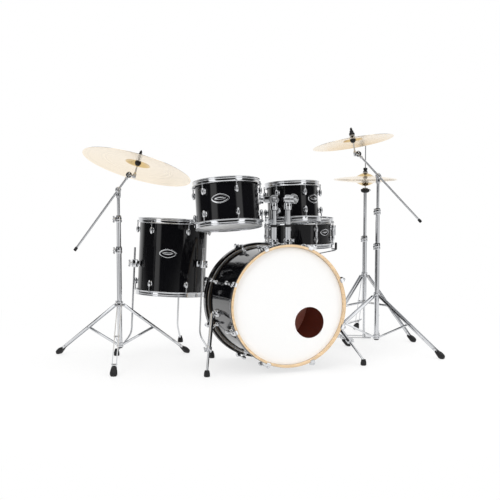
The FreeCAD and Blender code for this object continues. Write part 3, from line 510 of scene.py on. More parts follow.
def piece(name, bm, body, materials, replaced=(), place=None):
    """Turn a finished mesh into a named piece that rides on a body."""
    bmesh.ops.recalc_face_normals(bm, faces=bm.faces)
    for face in bm.faces:
        face.smooth = True
    for edge in bm.edges:
        if len(edge.link_faces) == 2 and edge.calc_face_angle(0.0) > math.radians(38):
            edge.smooth = False
    mesh = bpy.data.meshes.new(name)
    bm.to_mesh(mesh)
    bm.free()
    for material in materials:
        mesh.materials.append(material)
    thing = bpy.data.objects.new(name, mesh)
    bpy.context.scene.collection.objects.link(thing)
    if place is not None:
        thing.matrix_world = place
    bpy.context.view_layer.update()
    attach(thing, body)
    if replaced:
        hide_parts(*replaced)
    return thing


# ---------------------------------------------------------------- places
def middle_of(node):
    low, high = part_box(node)
    return (Vector(low) + Vector(high)) / 2


def joint_place(name):
    return Vector(JOINTS[name]["pos_m"])


def joint_axis(name):
    return Vector(JOINTS[name]["axis"]).normalized()


def kick_frame():
    """The bass drum's middle, own Z towards the front and own Y up."""
    return Matrix.Translation(middle_of("kick_shell")) @ Matrix.Rotation(math.pi / 2 - kit().kick_tilt, 4, "X")


def drums():
    """Each pressed drum's name, body, radius, depth, lean, lug count, and bearings of first lug and badge."""
    sizes = kit()
    return (("mid_tom", "mid_tom", sizes.mid_radius, sizes.mid_depth, sizes.mid_lean, 6, 29, -121, 0.048),
            ("high_tom", "high_tom", sizes.high_radius, sizes.high_depth, sizes.high_lean, 6, 35, -55, 0.046),
            ("floor_tom", "kit_base", sizes.floor_radius, sizes.floor_depth, sizes.floor_lean, 6, 38, -114, 0.052),
            ("snare", "snare_drum", sizes.snare_radius, sizes.snare_depth, 0.0, 8, 7, -60.5, 0.040))


def drum_frame(name, lean):
    """A drum's middle, own Z up its axis."""
    roll = kit().floor_roll if name == "floor_tom" else 0.0
    turned = Matrix.Rotation(roll, 4, "Y") @ Matrix.Rotation(-lean, 4, "X")
    return Matrix.Translation(middle_of(name + "_shell")) @ turned


def around(bearing):
    """A turn about Z to a bearing in degrees."""
    return Matrix.Rotation(math.radians(bearing), 4, "Z")


def polar(radius, bearing, height=0.0):
    angle = math.radians(bearing)
    return Vector((radius * math.cos(angle), radius * math.sin(angle), height))


# ---------------------------------------------------------------- bass drum
class KIT_OT_kick_shell(bpy.types.Operator):
    """Lacquered bass drum shell with a stained inside"""
    bl_idname = "kit.kick_shell"
    bl_label = "Bass drum shell"

    def execute(self, context):
        sizes = kit()
        half = sizes.kick_depth / 2
        inner = sizes.kick_radius - sizes.kick_wall
        edge = 0.004
        profile = [(sizes.kick_radius, -half + edge), (sizes.kick_radius, half - edge),
                   ((sizes.kick_radius + inner) / 2, half), (inner, half - edge), (inner, -half + edge),
                   ((sizes.kick_radius + inner) / 2, -half)]
        bm = new_mesh()
        lathe(bm, profile, kick_frame(), True, 128, lambda number: 0 if number == 0 else 1)
        piece("kick_shell_finish", bm, "kit_base", [finish("lacquer"), finish("lining")],
              ["kick_shell"])
        return {"FINISHED"}


class KIT_OT_kick_hoops(bpy.types.Operator):
    """Maple hoops, black outside with a silver inlay"""
    bl_idname = "kit.kick_hoops"
    bl_label = "Bass drum hoops"

    def execute(self, context):
        sizes = kit()
        half = sizes.kick_depth / 2
        inner, outer = sizes.hoop_inner, sizes.hoop_outer
        low, high = -sizes.hoop_back, sizes.hoop_proud
        groove = 0.0007
        outside = [(outer - 0.0015, low), (outer, low + 0.0015), (outer, -0.004), (outer - groove, -0.004),
                   (outer - groove, 0.004), (outer, 0.004), (outer, high - 0.004), (outer - 0.001, high - 0.0012),
                   (outer - 0.0035, high), (inner + 0.002, high), (inner, high - 0.002), (inner, low + 0.0015),
                   (inner + 0.0015, low)]
        black, silver, wood = 0, 1, 2

        def paint(number):
            if number == 3:
                return silver
            return black if number < 7 or number == 12 else wood

        for end, flip in (("front", Matrix()), ("rear", Matrix.Rotation(math.pi, 4, "X"))):
            bm = new_mesh()
            lathe(bm, outside, kick_frame() @ flip @ shifted(0, 0, half), True, 160, paint)
            piece(f"kick_hoop_{end}", bm, "kit_base",
                  [finish("lacquer"), finish("chrome"), finish("maple")], ["kick_hoops"])
        return {"FINISHED"}


class KIT_OT_kick_claws(bpy.types.Operator):
    """Claws, tension rods and lugs of the bass drum"""
    bl_idname = "kit.kick_claws"
    bl_label = "Bass drum claws and lugs"

    def execute(self, context):
        sizes = kit()
        half = sizes.kick_depth / 2
        outer = sizes.hoop_outer
        edge = half + sizes.hoop_proud
        claws = new_mesh()
        lugs = new_mesh()
        for flip in (Matrix(), Matrix.Rotation(math.pi, 4, "X")):
            for index in range(sizes.kick_lugs):
                base = kick_frame() @ flip @ around(360 * (index + 0.5) / sizes.kick_lugs)
                self.claw(claws, base, outer, edge)
                self.lug(lugs, base, sizes.kick_radius, outer + 0.012, edge - 0.082)
        piece("kick_claw_set", claws, "kit_base", [finish("chrome"), finish("rubber")], ["kick_claws"])
        piece("kick_lug_set", lugs, "kit_base", [finish("chrome")], ["kick_lugs"])
        return {"FINISHED"}

    def claw(self, bm, base, outer, edge):
        """A bent tongue over the hoop, with its rod and square head. Own X points outwards."""
        side = rounded([(-0.009, 0.0005), (-0.009, 0.0035), (0.010, 0.0035), (0.015, -0.002), (0.0155, -0.032),
                        (0.0085, -0.032), (0.0085, -0.024), (0.0035, -0.022), (0.0003, -0.016), (0.0003, 0.0005)],
                       0.0018)
        width = 0.021
        place = base @ shifted(outer, -width / 2, edge) @ Matrix.Rotation(-math.pi / 2, 4, "X")
        plate(bm, [(x, -z) for x, z in side], width, place, 0.0012)
        rod = base @ shifted(outer + 0.0118, 0, edge)
        solid_lathe(bm, rounded([(0.0075, -0.002), (0.0075, 0.0005), (0.0045, 0.002)], 0.0008, False), rod, 24)
        tube(bm, [rod @ Vector((0, 0, -0.002)), rod @ Vector((0, 0, -0.084))], 0.0034, 14)
        slab(bm, (0.0065, 0.0065, 0.006), rod @ shifted(0, 0, 0.001), 0.0008)

    def lug(self, bm, base, radius, rod_radius, end):
        """A long bullet-shaped casting on a round foot."""
        outline = [(0.0058, 0.0), (0.0082, -0.003), (0.0098, -0.014), (0.0092, -0.026), (0.006, -0.038),
                   (0.0025, -0.0405)]
        solid_lathe(bm, rounded(outline, 0.004, False), base @ shifted(rod_radius - 0.001, 0, end), 28)
        foot = base @ shifted(radius - 0.0025, 0, end - 0.016) @ Matrix.Rotation(math.pi / 2, 4, "Y")
        solid_lathe(bm, rounded([(0.0135, 0.0), (0.0135, 0.004), (0.0085, 0.009), (0.0075, 0.024)], 0.002, False),
                    foot @ Matrix.Diagonal((1.35, 0.85, 1.0, 1.0)), 28)


# ---------------------------------------------------------------- pressed drums
class KIT_OT_pressed_drums(bpy.types.Operator):
    """Hoops, lugs, rods and badges of the toms and the snare"""
    bl_idname = "kit.pressed_drums"
    bl_label = "Toms and snare"

    def execute(self, context):
        for name, body, radius, depth, lean, count, first, badge, inset in drums():
            place = drum_frame(name, lean)
            self.hoops(name, body, radius, depth, place)
            self.lugs(name, body, radius, depth, place, count, first, inset)
            self.badge(name, body, radius, depth, place, badge)
        return {"FINISHED"}

    def hoops(self, name, body, radius, depth, place):
        """A triple-flanged hoop at each end."""
        inner = radius + kit().hoop_gap
        outer = inner + kit().hoop_wall
        profile = rounded([(inner, -0.0138), (radius + 0.0176, -0.0138), (radius + 0.0176, -0.0112),
                           (outer + 0.0008, -0.0106), (outer, -0.007), (outer, 0.0015), (outer + 0.0011, 0.003),
                           (outer, 0.0045), (outer, 0.0095), (outer + 0.0026, 0.0112), (outer + 0.0022, 0.0128),
                           (inner, 0.0126)], 0.0012)
        for end, flip in (("top", Matrix()), ("bottom", Matrix.Rotation(math.pi, 4, "X"))):
            bm = new_mesh()
            lathe(bm, profile, place @ flip @ shifted(0, 0, depth / 2), True, 128)
            piece(f"{name}_hoop_{end}", bm, body, [finish("chrome")], [name + "_hoops"])

    def lugs(self, name, body, radius, depth, place, count, first, inset):
        """Bullet lugs on round feet, with a rod and a square head to each."""
        bm = new_mesh()
        long = 0.034 if name == "snare" else 0.032
        for flip in (1, -1):
            for index in range(count):
                spin = around(first + 360 * index / count)
                end = place @ spin @ Matrix.Diagonal((1, 1, flip, 1))
                middle = depth / 2 - inset
                outline = [(0.0045, long / 2), (0.0072, long / 2 - 0.003), (0.0088, 0.002), (0.0078, -long / 4),
                           (0.004, -long / 2), (0.0018, -long / 2 - 0.001)]
                solid_lathe(bm, rounded(outline, 0.004, False), end @ shifted(radius + 0.0128, 0, middle), 24)
                foot = end @ shifted(radius - 0.001, 0, middle + 0.001) @ Matrix.Rotation(math.pi / 2, 4, "Y")
                solid_lathe(bm, rounded([(0.0105, 0.0), (0.0105, 0.003), (0.007, 0.007), (0.006, 0.013)], 0.002,
                                        False), foot @ Matrix.Diagonal((1.3, 0.85, 1, 1)), 24)
                hoop = depth / 2 - 0.0112
                tube(bm, [end @ Vector((radius + 0.0134, 0, middle + long / 2 - 0.002)),
                          end @ Vector((radius + 0.0134, 0, hoop + 0.002))], 0.0028, 12)
                head = end @ shifted(radius + 0.0138, 0, hoop)
                solid_lathe(bm, rounded([(0.0045, 0.0), (0.0045, 0.0022), (0.0032, 0.0034)], 0.0006, False),
                            head, 18)
                slab(bm, (0.0056, 0.0056, 0.0056), head @ shifted(0, 0, 0.0055), 0.0007)
        if name == "snare":
            for index in range(count):
                spin = place @ around(first + 360 * index / count)
                tube(bm, [spin @ Vector((radius + 0.0128, 0, -depth / 2 + inset)),
                          spin @ Vector((radius + 0.0128, 0, depth / 2 - inset))], 0.0058, 18)
        piece(f"{name}_lug_set", bm, body, [finish("chrome")], [name + "_lugs"])

    def badge(self, name, body, radius, depth, place, bearing):
        """A plain pointed-oval badge wrapped round the shell, with a dark middle."""
        bm = new_mesh()
        wide, tall = kit().badge_wide / 2, kit().badge_tall / 2
        if name == "snare":
            wide, tall = wide * 0.8, tall * 0.8
        levels = ((1.0, 1.0, -0.0002), (1.0, 1.0, 0.0009), (0.97, 0.95, 0.0014), (0.86, 0.80, 0.0014),
                  (0.84, 0.76, 0.0009), (0.62, 0.26, 0.0009), (0.60, 0.22, 0.0015), (0.50, 0.14, 0.0017))
        steps = 64
        rings = []
        for share_x, share_y, height in levels:
            ring = []
            for step in range(steps):
                angle = math.tau * step / steps
                x = wide * share_x * math.copysign(abs(math.cos(angle)) ** 1.35, math.cos(angle))
                y = tall * share_y * math.copysign(abs(math.sin(angle)) ** 1.05, math.sin(angle))
                at = math.radians(bearing) + x / radius
                out = radius + height
                spot = Vector((out * math.cos(at), out * math.sin(at), y + depth * 0.06))
                ring.append(bm.verts.new(place @ spot))
            rings.append(ring)
        for number, (low, high) in enumerate(zip(rings, rings[1:])):
            joined(bm, low, high, int(number == 4))
        bm.faces.new(rings[-1])
        piece(f"{name}_badge", bm, body, [finish("chrome"), finish("lacquer")])


# ---------------------------------------------------------------- cymbals
def cymbal(name, body, node, radius, bell, rise, bow, place):
    """A cymbal turned from a smooth outline: bell, shoulder, bow and a fine edge."""
    thick = 0.0012
    hole = 0.0066
    steps = 44
    top = []
    for step in range(steps + 1):
        share = step / steps
        out = hole + (radius - hole) * share ** 1.25
        height = bow * (1 - (out / radius) ** 2)
        dome = min(1.0, out / (bell * 1.12))
        height += rise * (1 - dome ** 2) ** 1.5 if dome < 1 else 0.0
        top.append((out, height))
    under = [(out, height - thick) for out, height in reversed(top)]
    bm = new_mesh()
    lathe(bm, top + under, Matrix(), True, 144)
    return piece(name, bm, body, [bronze_material(name + "_bronze", bell)], [node], place)


class KIT_OT_cymbals(bpy.types.Operator):
    """Ride, crash and hi-hat cymbals"""
    bl_idname = "kit.cymbals"
    bl_label = "Cymbals"

    def execute(self, context):
        parts = gear()
        for side, radius, lean, bell, rise, bow in (
                ("left", parts.left_cymbal, parts.left_lean, 0.062, 0.020, 0.020),
                ("right", parts.right_cymbal, parts.right_lean, 0.050, 0.017, 0.015)):
            axis = Vector(lean).normalized()
            seat = joint_place(f"{side}_cymbal_swing")
            origin = seat + axis * (0.0024 - rise - bow)
            cymbal(f"{side}_cymbal_plate", f"{side}_cymbal_plate", f"{side}_cymbal", radius, bell, rise, bow,
                   aimed(origin, axis))
        for side, node, body, flip in (("top", "hihat_top_cymbal", "hat_pull", 1),
                                       ("bottom", "hihat_bottom_cymbal", "hat_upper", -1)):
            low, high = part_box(node)
            centre = (Vector(low) + Vector(high)) / 2
            edge = low[2] + 0.0013 if flip > 0 else high[2] - 0.0013
            place = Matrix.Translation((centre.x, centre.y, edge))
            if flip < 0:
                place = place @ Matrix.Rotation(math.pi, 4, "X")
            cymbal(f"hat_{side}_plate", body, node, parts.hat_cymbal, 0.048, 0.018, 0.016, place)
        return {"FINISHED"}


# ---------------------------------------------------------------- shared hardware
CHROME, BLACK, STEEL, FELT = range(4)


def hardware():
    return [finish("chrome"), finish("rubber"), finish("steel"), finish("felt")]


def bolt_out():
    """The way the clamps' wing bolts point."""
    return Vector((-0.8, -0.6, 0.0))


def pipe(bm, centre, radius, low, high, paint=CHROME):
    """An upright tube with eased ends."""
    solid_lathe(bm, [(radius - 0.0008, low), (radius, low + 0.0008), (radius, high - 0.0008),
                     (radius - 0.0008, high)], Matrix.Translation((centre.x, centre.y, 0)), 32, paint)


def height_clamp(bm, centre, tube_radius, low):
    """A hinged height clamp: chrome body, black sleeve on top, split ear and wing bolt."""
    parts = gear()
    place = Matrix.Translation((centre.x, centre.y, low))
    tall = parts.clamp_tall
    body = rounded([(tube_radius, 0.0), (parts.clamp - 0.0025, 0.0), (parts.clamp - 0.0008, 0.003),
                    (parts.clamp - 0.0008, tall * 0.38), (parts.clamp - 0.0025, tall * 0.45),
                    (parts.clamp - 0.0008, tall * 0.52), (parts.clamp - 0.0015, tall - 0.006),
                    (tube_radius + 0.002, tall - 0.004), (tube_radius, tall - 0.004)], 0.0012)
    lathe(bm, body, place, True, 40)
    lathe(bm, rounded([(tube_radius - 0.0009, tall - 0.006), (tube_radius + 0.0018, tall - 0.0045),
                       (tube_radius + 0.0012, tall), (tube_radius - 0.0009, tall)], 0.0006), place, True, 32,
          BLACK)
    out = bolt_out()
    middle = Vector((centre.x, centre.y, low + tall / 2))
    slab(bm, (0.016, 0.009, tall * 0.62), framed(middle + out * parts.clamp, out, (0, 0, 1)), 0.003)
    tube(bm, [middle + out * parts.clamp, middle + out * (parts.clamp + 0.014)], 0.0035, 16, STEEL)
    wing(bm, framed(middle + out * (parts.clamp + 0.012), (0, 0, 1), out), 0.034)
    side = out.cross(Vector((0, 0, 1)))
    tube(bm, [middle + out * 0.016 + side * 0.0055, middle + out * 0.016 + side * 0.0075], 0.0045, 6, STEEL)


def stand_legs(bm, centre, turn_degrees, reach, collar, low):
    """Three double-rail legs with braces, and the collars they hinge on."""
    parts = gear()
    middle = Matrix.Translation((centre.x, centre.y, 0))
    for height, wide, tall in ((collar, parts.collar - 0.002, 0.028),
                               (low + 0.012, parts.base_tube + 0.005, 0.024)):
        profile = rounded([(parts.base_tube, height - tall / 2), (wide, height - tall / 2 + 0.001),
                           (wide, height - tall * 0.2), (wide - 0.002, height - tall * 0.12),
                           (wide - 0.002, height + tall * 0.12), (wide, height + tall * 0.2),
                           (wide, height + tall / 2 - 0.001), (parts.base_tube, height + tall / 2)], 0.001)
        lathe(bm, profile, middle, True, 40)
    out = bolt_out()
    wing(bm, framed(Vector((centre.x, centre.y, collar + 0.004)) + out * (parts.collar - 0.003), (0, 0, 1), out),
         0.030)
    for index in range(3):
        bearing = turn_degrees + 120 * index
        side = polar(1, bearing + 90)
        start = centre + polar(parts.collar + 0.002, bearing, collar - 0.006)
        end = centre + polar(reach - 0.010, bearing, 0.030)
        along = end - start
        halfway = start + along * 0.5
        for edge in (-1, 1):
            rail = (start + end) / 2 + side * (edge * parts.rail_gap / 2)
            slab(bm, (parts.rail_thick, parts.rail_deep, along.length + 0.006), framed(rail, side, along), 0.0018)
        for at in (start, halfway, end - along.normalized() * 0.030):
            tube(bm, [at - side * (parts.rail_gap / 2 + 0.0035), at + side * (parts.rail_gap / 2 + 0.0035)],
                 0.0036, 16, STEEL)
        foot = centre + polar(parts.base_tube + 0.006, bearing, low + 0.012)
        brace = halfway - foot
        for edge in (-1, 1):
            strip = framed((foot + halfway) / 2 + side * (edge * 0.0055), side, brace)
            slab(bm, (0.0024, 0.010, brace.length), strip, 0.001)
        slab(bm, (0.012, 0.012, 0.014), framed(centre + polar(parts.collar, bearing, collar - 0.006), side,
                                               (0, 0, 1)), 0.003)


def rubber_shoe(bm, foot, bearing):
    """A rubber shoe: it wraps the rails' ends and flattens where it stands."""
    out = polar(1, bearing)
    side = polar(1, bearing + 90)
    steps = 24
    rings = []
    # along the rail, height, half width and half height of each section, from the leg to the toe
    sections = ((-0.023, 0.038, 0.0120, 0.0068), (-0.021, 0.036, 0.0134, 0.0085), (-0.010, 0.027, 0.0150, 0.0115),
                (0.002, 0.018, 0.0172, 0.0150), (0.012, 0.012, 0.0180, 0.0130), (0.020, 0.008, 0.0150, 0.0100),
                (0.0235, 0.006, 0.0090, 0.0060))
    for along, height, wide, tall in sections:
        ring = []
        for step in range(steps):
            angle = math.tau * step / steps
            across = math.copysign(abs(math.cos(angle)) ** 0.7, math.cos(angle)) * wide
            upward = math.copysign(abs(math.sin(angle)) ** 0.7, math.sin(angle)) * tall
            at = foot + out * (along + upward * 0.35) + side * across
            ring.append(bm.verts.new((at.x, at.y, max(0.0, height + upward))))
        rings.append(ring)
    capped(bm, rings)


def toothed(bm, place, radius, thick, teeth=30, paint=CHROME):
    """A ratchet disc: a smooth drum with fine teeth round its rim."""
    solid_lathe(bm, rounded([(radius - 0.0022, 0.0), (radius - 0.0012, 0.001), (radius - 0.0012, thick - 0.001),
                             (radius - 0.0022, thick)], 0.0006, False), place, 40, paint)
    for index in range(teeth):
        slab(bm, (0.0016, 0.0014, thick * 0.7),
             place @ around(360 * index / teeth) @ shifted(radius - 0.0012, 0, thick / 2), 0.0004, paint)


def felt_ring(bm, place, radius, thick):
    ring = rounded([(0.0042, 0.0), (radius, 0.0), (radius, thick), (0.0042, thick)], 0.0015)
    lathe(bm, ring, place, True, 40, FELT)


# ---------------------------------------------------------------- boom stands
# Each stand's first leg's bearing in degrees, its tube's foot, its leg collar, and its boom behind the pivot.
STANDS = {"left": (13, 0.070, 0.290, 0.373), "right": (63, 0.063, 0.297, 0.331)}


def stand_centre(side):
    """Where a boom stand's tube stands, from the boom's pivot beside it."""
    pivot = joint_place(f"{side}_boom_tilt")
    middle = pivot - joint_axis(f"{side}_boom_tilt") * gear().boom_side
    return Vector((middle.x, middle.y, 0))


class KIT_OT_boom_stands(bpy.types.Operator):
    """The two boom stands: legs, tubes, clamps, booms and tilters"""
    bl_idname = "kit.boom_stands"
    bl_label = "Boom stands"

    def execute(self, context):
        for side in STANDS:
            centre = stand_centre(side)
            self.base(side, centre)
            self.tubes(side, centre)
            self.boom(side)
            self.tilter(side)
        return {"FINISHED"}

    def base(self, side, centre):
        parts = gear()
        turn_degrees, low, collar, _ = STANDS[side]
        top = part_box(f"{side}_stand_base")[1].z
        bm = new_mesh()
        stand_legs(bm, centre, turn_degrees, parts.leg_reach, collar, low)
        pipe(bm, centre, parts.base_tube, low, top - 0.002)
        height_clamp(bm, centre, parts.base_tube, top - 0.034)
        solid_lathe(bm, rounded([(0.010, low - 0.006), (parts.base_tube + 0.001, low - 0.003),
                                 (parts.base_tube + 0.001, low + 0.002)], 0.002, False),
                    Matrix.Translation((centre.x, centre.y, 0)), 28, BLACK)
        piece(f"{side}_stand_legs", bm, "kit_base", hardware(), [f"{side}_stand_base"])

    def tubes(self, side, centre):
        parts = gear()
        low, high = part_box(f"{side}_mid_tube")
        bm = new_mesh()
        pipe(bm, centre, parts.mid_tube, low.z, high.z - 0.002)
        height_clamp(bm, centre, parts.mid_tube, high.z - 0.034)
        piece(f"{side}_middle_tube", bm, f"{side}_mid", hardware(), [f"{side}_mid_tube"])
        low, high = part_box(f"{side}_top_tube")
        hinge = joint_axis(f"{side}_boom_tilt")
        pivot = Vector((centre.x, centre.y, joint_place(f"{side}_boom_tilt").z))
        bm = new_mesh()
        pipe(bm, centre, parts.top_tube, low.z, pivot.z - 0.008)
        collar = rounded([(parts.top_tube + 0.0035, pivot.z - 0.040), (parts.top_tube + 0.0045, pivot.z - 0.030),
                          (parts.top_tube + 0.0040, pivot.z - 0.010)], 0.001, False)
        solid_lathe(bm, collar, Matrix.Translation((centre.x, centre.y, 0)), 28)
        toothed(bm, aimed(pivot - hinge * 0.011, hinge), 0.0158, 0.022)
        solid_lathe(bm, rounded([(0.0075, 0.0), (0.0075, 0.004), (0.005, 0.006)], 0.001, False),
                    aimed(pivot - hinge * 0.011, -hinge), 6, STEEL)
        piece(f"{side}_upper_tube", bm, f"{side}_top", hardware(), [f"{side}_top_tube"])

    def boom(self, side):
        parts = gear()
        hinge = joint_axis(f"{side}_boom_tilt")
        pivot = joint_place(f"{side}_boom_tilt")
        front = joint_place(f"{side}_cymbal_tilt")
        along = (front - pivot).normalized()
        tail = pivot - along * STANDS[side][3]
        bm = new_mesh()
        tube(bm, [tail, front - along * 0.012], parts.boom, 24)
        solid_lathe(bm, rounded([(parts.boom, 0.0), (parts.boom + 0.0022, 0.002), (parts.boom + 0.0022, 0.018),
                                 (parts.boom, 0.022)], 0.002, False), aimed(tail, along), 24, BLACK)
        lathe(bm, rounded([(parts.boom, 0.0), (0.0118, 0.002), (0.0118, 0.026), (parts.boom, 0.028)], 0.003),
              aimed(pivot - along * 0.013, along), True, 36)
        toothed(bm, aimed(pivot - hinge * 0.0126, hinge), 0.0098, 0.005, 24)
        wing(bm, framed(pivot + hinge * 0.0105, (0, 0, 1), hinge), 0.032)
        toothed(bm, aimed(front - hinge * 0.0115, hinge), 0.0165, 0.0113)
        solid_lathe(bm, rounded([(0.0075, 0.0), (0.0085, 0.004), (parts.boom, 0.012)], 0.001, False),
                    aimed(front - hinge * 0.002 - along * 0.018, -along), 24)
        piece(f"{side}_boom_arm_set", bm, f"{side}_boom_arm", hardware(), [f"{side}_boom"])

    def tilter(self, side):
        parts = gear()
        hinge = joint_axis(f"{side}_cymbal_tilt")
        front = joint_place(f"{side}_cymbal_tilt")
        seat = joint_place(f"{side}_cymbal_swing")
        lean = Vector(getattr(parts, f"{side}_lean")).normalized()
        ahead = hinge.cross(lean).normalized()
        if ahead.dot(front - joint_place(f"{side}_boom_tilt")) < 0:
            ahead = -ahead
        head = front + hinge * 0.0075
        stem = head + ahead * getattr(parts, f"{side}_ahead")
        if ((seat - stem).normalized() - lean).length > 0.01:
            raise RuntimeError(f"the {side} tilter's rod does not reach its cymbal")
        rise = (seat - stem).length
        bm = new_mesh()
        toothed(bm, aimed(front + hinge * 0.0003, hinge), 0.0160, 0.0125, 30)
        wing(bm, framed(front + hinge * 0.0128, lean, hinge), 0.036)
        tube(bm, [head, stem + ahead * 0.006], 0.0064, 20)
        solid_lathe(bm, rounded([(0.0050, -0.010), (0.0090, -0.008), (0.0090, 0.010), (0.0070, 0.016),
                                 (0.0042, 0.020), (0.0040, rise + 0.038), (0.0030, rise + 0.040)], 0.001, False),
                    aimed(stem, lean), 28)
        solid_lathe(bm, rounded([(0.0060, -0.030), (0.0105, -0.027), (0.0150, -0.019), (0.0158, -0.0095),
                                 (0.0130, -0.0088)], 0.002, False), aimed(seat, lean), 40, BLACK)
        felt_ring(bm, aimed(seat - lean * 0.009, lean), 0.0138, 0.0068)
        felt_ring(bm, aimed(seat + lean * 0.0056, lean), 0.0138, 0.0068)
        solid_lathe(bm, [(0.0060, -0.009), (0.0058, 0.012)], aimed(seat, lean), 24, BLACK)
        solid_lathe(bm, rounded([(0.0146, 0.0130), (0.0148, 0.0200), (0.0110, 0.0240), (0.0096, 0.0340),
                                 (0.0060, 0.0362)], 0.002, False), aimed(seat, lean), 36, BLACK)
        wing(bm, framed(seat + lean * 0.036, hinge, lean), 0.036, BLACK)
        piece(f"{side}_tilter_set", bm, f"{side}_tilt", hardware(), [f"{side}_tilter"])


# ---------------------------------------------------------------- hi-hat
def hat_centre():
    middle = middle_of("hihat_bottom_cymbal")
    return Vector((middle.x, middle.y, 0))


def pedal_way():
    """The way from the hi-hat's tube to its heel plate."""
    hinge = joint_axis("hat_pedal")
    away = joint_place("hat_pedal") - hat_centre()
    flat = Vector((away.x, away.y, 0)).normalized()
    return flat - hinge * flat.dot(hinge)


